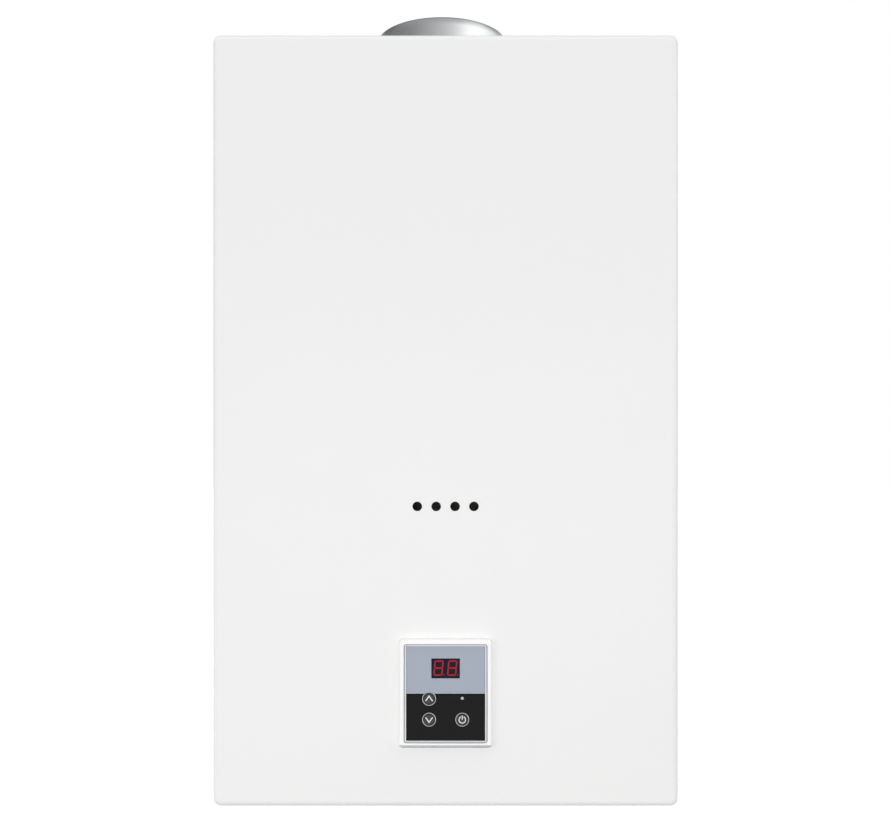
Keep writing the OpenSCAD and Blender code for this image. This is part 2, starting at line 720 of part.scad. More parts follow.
module flow_rotor() color("white") seat() translate([water_x, mid_y, flow_z + 3]) difference() {
    union() {
        cylinder(h = 14, r = 2.6);
        for (k = [0:5]) rotate([0, 0, k * 60]) translate([1, -0.6, 1]) cube([9.5, 1.2, 12]);
    }
    translate([0, 0, -1]) cylinder(h = 16, r = spindle_r + run_gap);
}

module flow_sensor() color("black") seat() difference() {
    block([water_x - 9, mid_y - 24, flow_z], [water_x + 9, mid_y - 11, flow_z + 20]);
    rod_z([water_x, mid_y, flow_z - 1], 15 + snug, 22);
}

module drain_valve() color("gold") seat() difference() {
    union() {
        block([drain_x - 10, mid_y - 9, floor_z], [drain_x + 10, mid_y + 9, 25]);
        rod_z([drain_x, mid_y, -5], 6, 5 + floor_z);
        rod_z([drain_x, mid_y, -15], 3, 12);
    }
    rod_x([drain_x - 11, mid_y, 16], 2.5, 12);
}

module drain_knob() color("dimgray") seat() translate([drain_x, mid_y, 0]) difference() {
    union() {
        translate([0, 0, -18]) cylinder(h = 18 - 5 - free_gap, r = 9);
        for (k = [0:5]) rotate([0, 0, k * 60]) translate([7, -2, -18]) cube([4, 4, 10]);
    }
    translate([0, 0, -15 - free_gap]) cylinder(h = 20, r = 3 + free_gap);
}

module cold_pipe() color("peru") seat() pipe_run([
    [water_x, mid_y, body_top - 8], [water_x, mid_y, cold_turn_z],
    [coil_x, mid_y, cold_turn_z], [coil_x, mid_y, joint_z]
], pipe_r, pipe_r - 0.8, coil_bend);

module hot_pipe() color("peru") seat() {
    y = mid_y - 2 * tube_pitch;
    pipe_run([
        [-tube_end + 6, y, tube_z], [hot_x, y, tube_z], [hot_x, y, hot_turn_z],
        [hot_x, mid_y, hot_turn_z], [-water_x, mid_y, hot_turn_z], [-water_x, mid_y, outlet_top - 8]
    ], pipe_r, pipe_r - 0.8, 12);
}

module hot_outlet() color("gold") seat() difference() {
    union() {
        connection(-water_x, outlet_top, 13);
        rod_y([-water_x, mid_y - 16, 22], 6, 16);
    }
    rod_z([-water_x, mid_y, -stub_h - 1], 8.2, stub_h + outlet_top - 9);
    rod_z([-water_x, mid_y, 0], pipe_r + solder_gap, outlet_top + 1);
}

module outlet_thermistor() color("gold") seat() {
    translate([-water_x, mid_y - 20, 22]) rotate([-90, 0, 0]) cylinder(h = 4, r = 5.5, $fn = 6);
    rod_y([-water_x, mid_y - 27, 22], 3, 7);
}

module hex_nut(x, z0, h, r, bore) difference() {
    hex_z([x, mid_y, z0], r, h);
    rod_z([x, mid_y, z0 - 1], bore, h + 2);
}

module pipe_nuts() color("gold") seat() {
    for (x = [-water_x, gas_x, water_x])
        hex_nut(x, nut_z, plate_z - nut_z, nut_r, neck_r + solder_gap);
    hex_nut(water_x, body_top, union_h, 11, pipe_r + solder_gap);
    hex_nut(-water_x, outlet_top, union_h, 11, pipe_r + solder_gap);
    hex_nut(coil_x, joint_z - 7, 14, 10, pipe_r + solder_gap);
}

// Electrical parts
box_x0 = 48;
box_x1 = case_w / 2 - 9;
box_y0 = inner_y + 8;
box_y1 = inner_y + 38;
box_z1 = 104;
spark_x = 25 - case_w / 2;
spark_top = 60;

module control_box() color("white") seat() {
    difference() {
        block([box_x0, box_y0 + 2, floor_z], [box_x1, box_y1, box_z1]);
        block([box_x0 + 2, box_y0, floor_z + 2], [box_x1 - 2, box_y1 - 2, box_z1 - 2]);
    }
    for (x = [box_x0 + 10, box_x1 - 10], z = [floor_z + 10, box_z1 - 10])
        rod_y([x, box_y1 - 8, z], 3, 6);
}

module control_lid() color("white") seat()
    block([box_x0, box_y0, floor_z], [box_x1, box_y0 + 2, box_z1]);

module control_board() color("darkgreen") seat() {
    y = box_y1 - 8;
    block([box_x0 + 4, y - 1.6, floor_z + 4], [box_x1 - 4, y, box_z1 - 4]);
    block([box_x0 + 12, y - 15, floor_z + 50], [box_x0 + 42, y - 1.6, floor_z + 80]);
    for (k = [0:2]) block([box_x0 + 56 + k * 18, y - 12, floor_z + 62], [box_x0 + 70 + k * 18, y - 1.6, floor_z + 80]);
    for (k = [0:2]) rod_y([box_x0 + 20 + k * 14, y - 14, floor_z + 30], 5, 12.4);
    block([box_x0 + 66, y - 4, floor_z + 24], [box_x0 + 84, y - 1.6, floor_z + 42]);
}

module spark_module() color("black") seat()
    block([spark_x, box_y0, floor_z], [spark_x + 62, box_y1 - 2, spark_top]);

module cable_gland() color("black") seat() translate([gland_x(), gland_y(), 0]) difference() {
    union() {
        translate([0, 0, plate_z - 8]) cylinder(h = 8, r = 11, $fn = 6);
        translate([0, 0, plate_z - 15]) cylinder(h = 7, r = 8);
        translate([0, 0, plate_z]) cylinder(h = 11, r = 7.9);
        translate([0, 0, floor_z]) cylinder(h = 5, r = 11, $fn = 6);
    }
    translate([0, 0, -20]) cylinder(h = 50, r = 3.5);
}

module wiring_loom() color("black") seat() {
    y = box_y0 + 14;
    e = electrode_places();
    tail = mid_y - chamber_y - 14;
    lead_y = tail - 6;
    for (k = [0, 1]) {
        z = mouth_z + 22 + 8 * k;
        pipe_run([
            [spark_x + 30 + 10 * k, lead_y, spark_top], [spark_x + 30 + 10 * k, lead_y, z], [e[k], lead_y, z],
            [e[k], lead_y, electrode_z() - 5]
        ], 1.6, 0, 5);
        difference() {
            rod_y([e[k], tail - 11, electrode_z()], 5, 18);
            rod_y([e[k], tail, electrode_z()], 3 + solder_gap, 20);
        }
    }
    pipe_run([
        [64, box_y1, 90], [64, mid_y, 90], [64, mid_y, cable_z], [mod_x, mid_y, cable_z],
        [mod_x, mid_y, valve_z1 + solenoid_h]
    ], 2, 0, 5);
    pipe_run([
        [mod_x, mid_y, cable_z], [main_x, mid_y, cable_z], [main_x, mid_y, valve_z1 + solenoid_h]
    ], 2, 0, 5);
    rod_x([housing_x(), inner_y + 12.5, panel_z - 5], 2.5, box_x0 - housing_x());
}

// Control panel, drawn about its own centre
module at_panel() translate([0, 0, panel_z]) children();

module key_holes(r, y0, y1) for (p = [up_at, down_at, power_at]) rod_y([p[0], y0, p[1]], r, y1 - y0);

module panel_bezel() color("white") seat() at_panel() {
    surround();
    translate([0, front_y, 0]) rotate([90, 0, 0]) sweep_round(view_w + 6, view_h + 6, 5) {
        collar_section();
    }
    difference() {
        slab(view_w / 2 - 1, view_h / 2 - 1, 0.5, chassis_y, chassis_y + 2);
        key_holes(key_r + 1.2, chassis_y - 1, chassis_y + 3);
        rod_y([status_at[0], chassis_y - 1, status_at[1]], 1.3, 4);
        slab_at(display_at, display_size + [0.4, 0.4], chassis_y - 1, chassis_y + 3);
    }
    for (sx = [-1, 1], sz = [-1, 1])
        rod_y([sx * (board_x - 2.5), chassis_y + 2, sz * (board_z - 3)], 2, board_y - chassis_y - 2);
}

// Raised surround with a rounded front edge, wider below, where it slopes down to the cover
module surround() difference() {
    middle = (bezel_top - bezel_foot) / 2;
    union() {
        translate([0, front_y, middle]) rotate([90, 0, 0]) sweep_round(panel_w, panel_h, bezel_r) difference() {
            translate([0.2, 0]) square([bezel_r - 0.2, panel_out]);
            translate([bezel_r - 2, panel_out - 2]) difference() {
                square([3, 3]);
                circle(2);
            }
        }
        slab(panel_w / 2 - 2.5, panel_h / 2 - 2.5, 0.7, bezel_y, front_y, middle);
    }
    slab(view_w / 2, view_h / 2, view_r, bezel_y - 1, front_y + 1);
    foot_cut();
}

// The wedge above the foot's slope
module foot_cut() {
    face_z = -view_h / 2 - bezel_face;
    foot_z = -view_h / 2 - bezel_foot;
    lip_y = front_y - bezel_lip;
    run = [lip_y - bezel_y, foot_z - face_z];
    pts = [[bezel_y, face_z] - 0.5 * run, [lip_y, foot_z] + 0.5 * run, [bezel_y - 6, foot_z - 6]];
    translate([-panel_w / 2 - 2, 0, 0]) rotate([90, 0, 90]) linear_extrude(panel_w + 4) polygon(pts);
}

// Collar inside the surround that passes through the cover, and the ledge that carries the frame
module collar_section() {
    translate([0.3, -12]) square([1.2, panel_out + 9.2]);
    translate([0.3, 0]) square([2.3, panel_out - 2.8]);
}

module slab_at(at, size, y0, y1)
    block([at[0] - size[0] / 2, y0, at[1] - size[1] / 2], [at[0] + size[0] / 2, y1, at[1] + size[1] / 2]);

module panel_frame() color("silver") seat() at_panel() {
    w = view_w - 2 * snug;
    h = view_h - 2 * snug;
    depth = front_y - panel_out + 2.8 - frame_y;
    translate([0, frame_y + depth, 0]) rotate([90, 0, 0]) sweep_round(w, h, 2)
        translate([2 - frame_w, 0]) square([frame_w, depth]);
    difference() {
        block([-w / 2 + 1, frame_y + 0.3, seam_mid - seam_z + solder_gap],
            [w / 2 - 1, frame_y + depth, seam_mid + seam_z - solder_gap]);
        key_holes(ring_r + snug, frame_y - 1, chassis_y + 1);
    }
}

// Half of the printed front, above or below the seam
module fascia(z0, z1) difference() {
    w = view_w - 2 * frame_w - 4 * snug;
    block([-w / 2, fascia_y, z0], [w / 2, chassis_y, z1]);
    key_holes(key_r + free_gap, fascia_y - 1, chassis_y + 1);
    rod_y([status_at[0], fascia_y - 1, status_at[1]], 1.2, 4);
    slab_at(display_at, display_size, fascia_y - 1, chassis_y + 1);
}

function fascia_top() = view_h / 2 - frame_w - 2 * snug;

module display_fascia() color("slategray") seat() at_panel() fascia(seam_mid + seam_z, fascia_top());

module keypad_fascia() color("black") seat() at_panel() fascia(-fascia_top(), seam_mid - seam_z);

module led_display() color("black") seat() at_panel()
    slab_at(display_at, display_size - [0.2, 0.2], fascia_y + 0.5, board_y);

// One bar of a figure, lying along x, with pointed ends
module segment(length, half, slant, turn) {
    pts = [[-length / 2, 0], [half - length / 2, half], [length / 2 - half, half],
        [length / 2, 0], [length / 2 - half, -half], [half - length / 2, -half]];
    polygon([for (p = pts) turn ? [-p[1] + slant * p[0], p[0]] : [p[0] + slant * p[1], p[1]]]);
}

module figure(x, z, w, h, half, slant) {
    l = w - 0.5;
    for (k = [-1, 0, 1])
        translate([x + slant * k * h / 2, z + k * h / 2]) segment(l, half, slant, false);
    for (sx = [-1, 1], sz = [-1, 1])
        translate([x + sx * w / 2 + slant * sz * h / 4, z + sz * h / 4])
            segment(h / 2 - 0.5, half, slant, true);
}

module led_segments() color("red") seat() at_panel() {
    y = fascia_y + 0.5;
    translate([0, y, 0]) rotate([90, 0, 0]) linear_extrude(0.2) {
        for (x = [-5.3, 4.95]) figure(x, 18.7, 5.9, 10.4, 0.62, 0.09);
        for (x = [-1.15, 8.85]) translate([x, 13.5]) circle(0.45);
    }
}

module status_led() color("honeydew") seat() at_panel()
    rod_y([status_at[0], fascia_y - 0.1, status_at[1]], 1.1, board_y - fascia_y + 0.1);

module key_rings() color("silver") seat() at_panel() difference() {
    key_holes(ring_r, fascia_y - 0.6, fascia_y);
    key_holes(key_r + free_gap, fascia_y - 1, fascia_y + 1);
}

module key(at) {
    rod_y([at[0], key_y, at[1]], key_r, chassis_y + 0.4 - key_y);
    rod_y([at[0], chassis_y + free_gap, at[1]], key_r + 0.9, 1);
    rod_y([at[0], chassis_y + 1, at[1]], 1.5, board_y - 3.3 - key_travel - free_gap - chassis_y - 1);
}

module up_key() color("dimgray") seat() at_panel() key(up_at);

module down_key() color("dimgray") seat() at_panel() key(down_at);

module power_key() color("dimgray") seat() at_panel() key(power_at);

module display_board() color("darkgreen") seat() at_panel() {
    block([-board_x, board_y, -board_z], [board_x, board_y + board_t, board_z]);
    block([-10, board_y + board_t, -12], [2, board_y + board_t + 2, 0]);
    block([14, board_y + board_t, -8], [22, board_y + board_t + 5, 4]);
}

module tact_switches() color("silver") seat() at_panel()
    for (p = [up_at, down_at, power_at]) {
        slab_at(p, [6, 6], board_y - 2.6, board_y);
        rod_y([p[0], board_y - 3.3, p[1]], 1.6, 0.7);
    }

function housing_x() = view_w / 2 + 1.8;

module panel_housing() color("white") seat() at_panel() {
    hx = housing_x();
    hz = view_h / 2 + 1.7;
    difference() {
        slab(hx, hz, 2, inner_y, inner_y + 16);
        slab(hx - 1.5, hz - 1.5, 0.5, inner_y - 1, inner_y + 14.5);
    }
}

back_plate();
front_cover();
bottom_plate();
brackets();
screws();
sight_window();
sight_clip();
flue_collar();
flue_gasket();
draught_hood();
thermostats();
exchanger_shell();
exchanger_fins();
exchanger_tubes();
combustion_chamber();
chamber_window();
jacket_coil();
burner_blades();
burner_frame();
gas_manifold();
gas_nozzles();
electrodes();
electrode_bracket();
gas_valve();
solenoid_coils();
main_plunger();
modulator_plunger();
gas_inlet();
water_inlet();
inlet_filter();
flow_rotor();
flow_sensor();
drain_valve();
drain_knob();
cold_pipe();
hot_pipe();
hot_outlet();
outlet_thermistor();
pipe_nuts();
control_box();
control_lid();
control_board();
spark_module();
cable_gland();
wiring_loom();
panel_bezel();
panel_frame();
display_fascia();
keypad_fascia();
led_display();
led_segments();
status_led();
key_rings();
up_key();
down_key();
power_key();
display_board();
tact_switches();
panel_housing();
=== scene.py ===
import json
import math

import bmesh
import bpy
from mathutils import Matrix, Vector

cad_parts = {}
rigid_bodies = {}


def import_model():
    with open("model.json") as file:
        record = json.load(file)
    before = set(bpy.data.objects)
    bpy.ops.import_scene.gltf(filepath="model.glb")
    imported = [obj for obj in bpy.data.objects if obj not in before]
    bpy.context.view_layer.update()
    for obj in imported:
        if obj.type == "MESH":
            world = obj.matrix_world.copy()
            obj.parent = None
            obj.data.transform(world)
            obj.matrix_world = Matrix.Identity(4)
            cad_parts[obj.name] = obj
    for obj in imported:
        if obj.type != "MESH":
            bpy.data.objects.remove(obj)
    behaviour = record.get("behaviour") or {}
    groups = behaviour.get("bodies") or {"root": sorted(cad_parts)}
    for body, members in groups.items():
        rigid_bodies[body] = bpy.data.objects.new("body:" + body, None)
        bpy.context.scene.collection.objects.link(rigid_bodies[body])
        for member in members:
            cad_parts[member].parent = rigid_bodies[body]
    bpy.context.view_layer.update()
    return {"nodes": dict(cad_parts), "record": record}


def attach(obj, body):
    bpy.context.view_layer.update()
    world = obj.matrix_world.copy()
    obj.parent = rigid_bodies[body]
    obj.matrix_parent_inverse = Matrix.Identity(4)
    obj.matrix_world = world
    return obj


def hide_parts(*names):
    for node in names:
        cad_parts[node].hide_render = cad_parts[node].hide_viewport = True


# The scene starts empty, and then holds the frame and nothing else
for stray in list(bpy.data.objects):
    bpy.data.objects.remove(stray)

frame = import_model()
nodes = frame["nodes"]
scene = bpy.context.scene

# Sizes of the heater are in millimetres, with heights above the case bottom
BASE_Z = -594.0
CASE_HALF = 175.0
MID_Y = -75.0
FLUE_X = -3.2
PLATE_Z = 2.5
FLOOR_Z = 3.5
FREE_GAP = 0.3
CORNERS = ((-1, -1), (-1, 1), (1, -1), (1, 1))
SQUARE = ((-1, -1), (1, -1), (1, 1), (-1, 1))

# Connections: a half-inch thread on the stub, a foot on the bottom plate and a body inside the case
WATER_X = 93.0
GAS_X = -20.0
COIL_X = 114.5
THREAD_R = 10.48
THREAD_PITCH = 1.814
THREAD_DEPTH = 1.16
THREAD_TOP = -4.0
STEPS_PER_TURN = 12
NECK_R = 9.68
STUB_Z = -28.0
FOOT_R = 16.0
FOOT_T = 3.0
FOOT_EDGE = 0.4
BODY_EDGE = 0.6
GAS_BODY_R = 11.0
GAS_BORE_R = 7.0
GAS_TOP = 50.0
COLD_BODY_R = 15.0
COLD_TOP = 58.0
HOT_BODY_R = 13.0
HOT_TOP = 40.0
HOT_STEP = 31.0
WATER_BORE_R = 8.2
SOCKET_R = 6.05
ROTOR_ROOM_R = 12.0
ROTOR_ROOM_Z = (26.0, 46.0)
SPINDLE_R = 1.0
SPINDLE_Z = (23.0, 48.0)
SPIDER_T = 2.0
BRANCH_R = 6.0
BRANCH_BORE_R = 2.5
BRANCH_Z = 16.0
BOSS_R = 6.0
BOSS_Z = 22.0
NUT_Z = -3.5
NUT_CORNER = 15.0
UNION_H = 10.0
UNION_CORNER = 11.0
COIL_NUT_Z = (117.0, 131.0)
COIL_NUT_CORNER = 10.0
DRAIN_X = 126.0
KNOB_R = 9.0
KNOB_LOBES = 6
GLAND_X = 46.0
GLAND_Y = MID_Y - 20
GLAND_R = 8.0
GLAND_CORNER = 11.0
GLAND_FLUTES = 18

# Flue collar and the places of the screws
WALL_R = 55.0
WALL_T = 1.0
NECK_WALL_R = 54.2
NECK_Z = (566.0, 584.0)
FLANGE_R = 66.0
FLANGE_INNER_R = 53.9
FLANGE_Z = 581.5
FLANGE_T = 1.0
FLANGE_HOLE_R = 2.1
COLLAR_TOP = 608.1
DRAW_R = 24.0
DRAW_TILT = 12.0
RIM_R = 1.3
RIM_SWEEP = 218.0
SCREW_RING = (FLANGE_R - 4.5) * math.sin(math.radians(45))
SIDE_SCREW_Y = -17.0
SIDE_SCREW_Z = (40.0, 540.0)
VALVE_X = (GAS_X - 15, GAS_X + 20)
VALVE_TOP = 90.0
VALVE_SCREW_PITCH = 25.0

# Control panel, with widths and heights from its middle
PANEL_Z = 87.1
FASCIA_Y = -168.8
CHASSIS_Y = -166.8
BOARD_Y = -157.0
KEY_Y = -169.5
KEY_R = 4.0
KEY_SKIRT_R = 4.9
KEY_STEM_R = 1.5
KEY_TRAVEL = 0.8
SWITCH_H = 3.3
KEYS = {"up_key": (-12.3, -4.0), "down_key": (-12.3, -19.5), "power_key": (12.4, -19.5)}
RING_R = 5.1
RING_BEAD = 0.26
CHEVRON_REACH = 2.4
CHEVRON_RISE = 1.7
CHEVRON_HALF = 0.41
POWER_R = 2.42
POWER_HALF = 0.35
POWER_BAR_HALF = 0.36
MARK_BACK, MARK_FRONT = -0.3, 0.04
FRAME_W, FRAME_H, FRAME_R, FRAME_Y = 62.2, 73.6, 2.0, -169.4
SEAM_LOW, SEAM_HIGH, SEAM_REACH = -0.03, 0.27, 3.2
# Thickness of the painted-shade skin on the slope of the surround's foot
SHADE_SKIN_T = 0.03
FIGURE_W, FIGURE_H, BAR, CORNER, SLANT = 5.9, 10.4, 0.62, 1.6, 0.09
FIGURES_X, FIGURES_Z = (-5.3, 4.95), 18.7
POINTS_X, POINTS_Z, POINT_R = (-1.15, 8.85), 13.5, 0.45
LED_Y = FASCIA_Y + 0.5


# Materials

def blank(name):
    """Starts a material of this name with one shader, and gives its tree and that shader."""
    mat = bpy.data.materials.get(name) or bpy.data.materials.new(name)
    mat.use_nodes = True
    tree = mat.node_tree
    tree.nodes.clear()
    shader = tree.nodes.new("ShaderNodeBsdfPrincipled")
    out = tree.nodes.new("ShaderNodeOutputMaterial")
    tree.links.new(shader.outputs[0], out.inputs[0])
    return tree, shader


def feed(tree, socket, value):
    """Gives an input its value: a link from another socket, a colour or a number."""
    if isinstance(value, bpy.types.NodeSocket):
        tree.links.new(value, socket)
    elif isinstance(value, tuple):
        socket.default_value = (*value, 1)
    else:
        socket.default_value = value


def place(tree, stretch=(1, 1, 1), shift=(0, 0, 0)):
    """Coordinates on the piece itself, stretched and shifted."""
    coord = tree.nodes.new("ShaderNodeTexCoord")
    mapping = tree.nodes.new("ShaderNodeMapping")
    mapping.inputs["Scale"].default_value = stretch
    mapping.inputs["Location"].default_value = shift
    tree.links.new(coord.outputs["Object"], mapping.inputs["Vector"])
    return mapping.outputs[0]


def noise(tree, where, scale, detail=3.0, rough=0.5):
    """Soft noise, in cells per metre."""
    node = tree.nodes.new("ShaderNodeTexNoise")
    node.inputs["Scale"].default_value = scale
    node.inputs["Detail"].default_value = detail
    node.inputs["Roughness"].default_value = rough
    tree.links.new(where, node.inputs["Vector"])
    return node.outputs["Fac"]


def voronoi(tree, where, scale, feature="F1", output="Distance"):
    """Cells with straight borders, in cells per metre."""
    node = tree.nodes.new("ShaderNodeTexVoronoi")
    node.feature = feature
    node.inputs["Scale"].default_value = scale
    tree.links.new(where, node.inputs["Vector"])
    return node.outputs[output]


def spread(tree, value, low, high, start=0.3, stop=0.7):
    """Maps a value from start..stop to low..high and holds it at both ends."""
    node = tree.nodes.new("ShaderNodeMapRange")
    node.inputs["From Min"].default_value = start
    node.inputs["From Max"].default_value = stop
    node.inputs["To Min"].default_value = low
    node.inputs["To Max"].default_value = high
    tree.links.new(value, node.inputs["Value"])
    return node.outputs["Result"]


def tint(tree, value, stops):
    """Colour by value, through (place, colour) stops."""
    node = tree.nodes.new("ShaderNodeValToRGB")
    band = node.color_ramp
    while len(band.elements) < len(stops):
        band.elements.new(0.5)
    for element, (at, colour) in zip(band.elements, stops):
        element.position = at
        element.color = (*colour, 1)
    tree.links.new(value, node.inputs["Fac"])
    return node.outputs["Color"]


def ramp(tree, value, stops):
    """Grey level by value, through (place, level) stops."""
    return tint(tree, value, [(at, (level, level, level)) for at, level in stops])


def combine(tree, operation, first, second):
    """One sum on two values."""
    node = tree.nodes.new("ShaderNodeMath")
    node.operation = operation
    feed(tree, node.inputs[0], first)
    feed(tree, node.inputs[1], second)
    return node.outputs[0]


def mixed(tree, factor, first, second):
    """The first value at factor 0, the second at 1."""
    node = tree.nodes.new("ShaderNodeMix")
    feed(tree, node.inputs[0], factor)
    feed(tree, node.inputs[2], first)
    feed(tree, node.inputs[3], second)
    return node.outputs[0]


def blend_colour(tree, factor, first, second):
    """The first colour at factor 0, the second at 1."""
    node = tree.nodes.new("ShaderNodeMix")
    node.data_type = "RGBA"
    feed(tree, node.inputs["Factor"], factor)
    feed(tree, node.inputs[6], first)
    feed(tree, node.inputs[7], second)
    return node.outputs[2]


def relief(tree, shader, height, depth, strength=1.0):
    """Fine relief from a height, its depth in metres."""
    node = tree.nodes.new("ShaderNodeBump")
    node.inputs["Strength"].default_value = strength
    node.inputs["Distance"].default_value = depth
    tree.links.new(height, node.inputs["Height"])
    tree.links.new(node.outputs[0], shader.inputs["Normal"])


def scaled(colour, factor):
    """A colour made darker or lighter."""
    return tuple(min(1.0, c * factor) for c in colour)


def finish(name, colour, rough, metal=0.0, mottle=0.03, mottle_scale=9.0, wander=0.05,
           grain=1200.0, depth=0.00002, stretch=(1, 1, 1), spec=0.5, coat=0.0, coat_rough=0.1):
    """The common finish: a mottled colour, a wandering roughness and a fine grain in relief."""
    tree, shader = blank(name)
    patches = noise(tree, place(tree, stretch=stretch), mottle_scale, 4.0)
    colours = tint(tree, patches, [(0.3, scaled(colour, 1 - mottle)), (0.7, scaled(colour, 1 + mottle))])
    tree.links.new(colours, shader.inputs["Base Color"])
    fine = noise(tree, place(tree, stretch=stretch, shift=(3.1, 1.7, 0.4)), grain, 2.0)
    tree.links.new(spread(tree, fine, max(0.02, rough - wander), rough + wander), shader.inputs["Roughness"])
    relief(tree, shader, fine, depth)
    shader.inputs["Metallic"].default_value = metal
    shader.inputs["Specular IOR Level"].default_value = spec
    shader.inputs["Coat Weight"].default_value = coat
    shader.inputs["Coat Roughness"].default_value = coat_rough


def enamel(name, colour):
    """Powder-coated sheet: a satin skin with orange peel and a slow change of gloss."""
    tree, shader = blank(name)
    here = place(tree)
    slow = noise(tree, here, 3.0, 2.0)
    colours = tint(tree, slow, [(0.3, scaled(colour, 0.992)), (0.7, scaled(colour, 1.006))])
    tree.links.new(colours, shader.inputs["Base Color"])
    peel = noise(tree, here, 420.0, 2.0, 0.4)
    tree.links.new(spread(tree, noise(tree, here, 24.0, 3.0), 0.34, 0.42), shader.inputs["Roughness"])
    relief(tree, shader, peel, 0.00003, 0.35)
    shader.inputs["Coat Weight"].default_value = 0.12
    shader.inputs["Coat Roughness"].default_value = 0.22


def spangled(name, colour):
    """Hot-dipped zinc: feathered crystals of slightly different greys, with faint rolling streaks."""
    tree, shader = blank(name)
    here = place(tree)
    wobble = noise(tree, here, 60.0, 3.0)
    bent = tree.nodes.new("ShaderNodeMapping")
    shift = tree.nodes.new("ShaderNodeCombineXYZ")
    for axis in range(3):
        tree.links.new(spread(tree, wobble, -0.004, 0.004), shift.inputs[axis])
    tree.links.new(here, bent.inputs["Vector"])
    tree.links.new(shift.outputs[0], bent.inputs["Location"])
    crystals = voronoi(tree, bent.outputs[0], 130.0, output="Color")
    split = tree.nodes.new("ShaderNodeSeparateColor")
    tree.links.new(crystals, split.inputs[0])
    streaks = noise(tree, place(tree, stretch=(1.0, 1.0, 0.12)), 240.0, 3.0)
    greys = tint(tree, split.outputs[0], [(0.0, scaled(colour, 0.86)), (1.0, scaled(colour, 1.06))])
    worn = blend_colour(tree, spread(tree, streaks, 0.0, 0.35), greys, scaled(colour, 1.06))
    tree.links.new(worn, shader.inputs["Base Color"])
    tree.links.new(spread(tree, split.outputs[1], 0.36, 0.46, 0.0, 1.0), shader.inputs["Roughness"])
    edges = voronoi(tree, bent.outputs[0], 130.0, "DISTANCE_TO_EDGE")
    relief(tree, shader, spread(tree, edges, 0.0, 1.0, 0.0, 0.08), 0.00002, 0.3)
    shader.inputs["Metallic"].default_value = 0.9


def copper(name, colour):
    """Copper that has been hot: bright metal with brown bloom and a few darker runs."""
    tree, shader = blank(name)
    here = place(tree)
    bloom = noise(tree, here, 26.0, 5.0, 0.6)
    colours = tint(tree, bloom, [(0.28, scaled(colour, 0.45)), (0.46, scaled(colour, 0.85)), (0.7, colour)])
    runs = noise(tree, place(tree, stretch=(1.0, 1.0, 0.15)), 130.0, 3.0)
    aged = blend_colour(tree, spread(tree, runs, 0.0, 0.45, 0.55, 0.75), colours, (0.24, 0.13, 0.09))
    tree.links.new(aged, shader.inputs["Base Color"])
    tree.links.new(spread(tree, bloom, 0.46, 0.24), shader.inputs["Roughness"])
    relief(tree, shader, runs, 0.00002, 0.5)
    shader.inputs["Metallic"].default_value = 1.0


def turned(name, colour, rough=0.28):
    """Turned or machined metal with fine tool lines and a light tarnish."""
    tree, shader = blank(name)
    lines = noise(tree, place(tree, stretch=(0.05, 0.05, 1.0)), 2600.0, 2.0)
    stain = noise(tree, place(tree), 60.0, 4.0)
    colours = tint(tree, stain, [(0.3, scaled(colour, 0.72)), (0.6, colour)])
    tree.links.new(colours, shader.inputs["Base Color"])
    tree.links.new(spread(tree, lines, rough - 0.06, rough + 0.10), shader.inputs["Roughness"])
    relief(tree, shader, lines, 0.00001, 0.5)
    shader.inputs["Metallic"].default_value = 1.0


def collar_metal(name, colour):
    """Rolled stainless sheet: satin, with drawing marks that run round the collar."""
    tree, shader = blank(name)
    marks = noise(tree, place(tree, stretch=(1.0, 1.0, 90.0)), 12.0, 3.0)
    clouds = noise(tree, place(tree), 16.0, 3.0)
    colours = tint(tree, clouds, [(0.3, scaled(colour, 0.93)), (0.7, scaled(colour, 1.04))])
    tree.links.new(colours, shader.inputs["Base Color"])
    tree.links.new(spread(tree, marks, 0.26, 0.31), shader.inputs["Roughness"])
    relief(tree, shader, marks, 0.00001, 0.15)
    shader.inputs["Metallic"].default_value = 1.0


def board(name, colour):
    """Green solder resist over tracks, with bright pads."""
    tree, shader = blank(name)
    here = place(tree)
    tracks = tree.nodes.new("ShaderNodeTexBrick")
    tracks.inputs["Scale"].default_value = 260.0
    tracks.inputs["Mortar Size"].default_value = 0.05
    tracks.inputs["Color1"].default_value = (*scaled(colour, 0.8), 1)
    tracks.inputs["Color2"].default_value = (*colour, 1)
    tracks.inputs["Mortar"].default_value = (*scaled(colour, 1.9), 1)
    turn = tree.nodes.new("ShaderNodeMapping")
    turn.inputs["Rotation"].default_value = (math.pi / 2, 0, 0)
    tree.links.new(here, turn.inputs["Vector"])
    tree.links.new(turn.outputs[0], tracks.inputs["Vector"])
    pads = voronoi(tree, turn.outputs[0], 330.0)
    mask = spread(tree, pads, 1.0, 0.0, 0.10, 0.13)
    plated = blend_colour(tree, mask, tracks.outputs["Color"], (0.62, 0.60, 0.55))
    tree.links.new(plated, shader.inputs["Base Color"])
    tree.links.new(spread(tree, noise(tree, here, 90.0), 0.25, 0.4), shader.inputs["Roughness"])
    relief(tree, shader, tracks.outputs["Fac"], 0.00003, 0.6)


def see_through(name, colour, amount, rough, layers, ior):
    """Glass or mica: clear, with faint clouds in its tint."""
    tree, shader = blank(name)
    clouds = noise(tree, place(tree, stretch=(1, 1, layers)), 40.0, 4.0)
    colours = tint(tree, clouds, [(0.3, scaled(colour, 0.9)), (0.7, colour)])
    tree.links.new(colours, shader.inputs["Base Color"])
    tree.links.new(spread(tree, clouds, rough, rough * 2.2), shader.inputs["Roughness"])
    shader.inputs["Transmission Weight"].default_value = amount
    shader.inputs["IOR"].default_value = ior


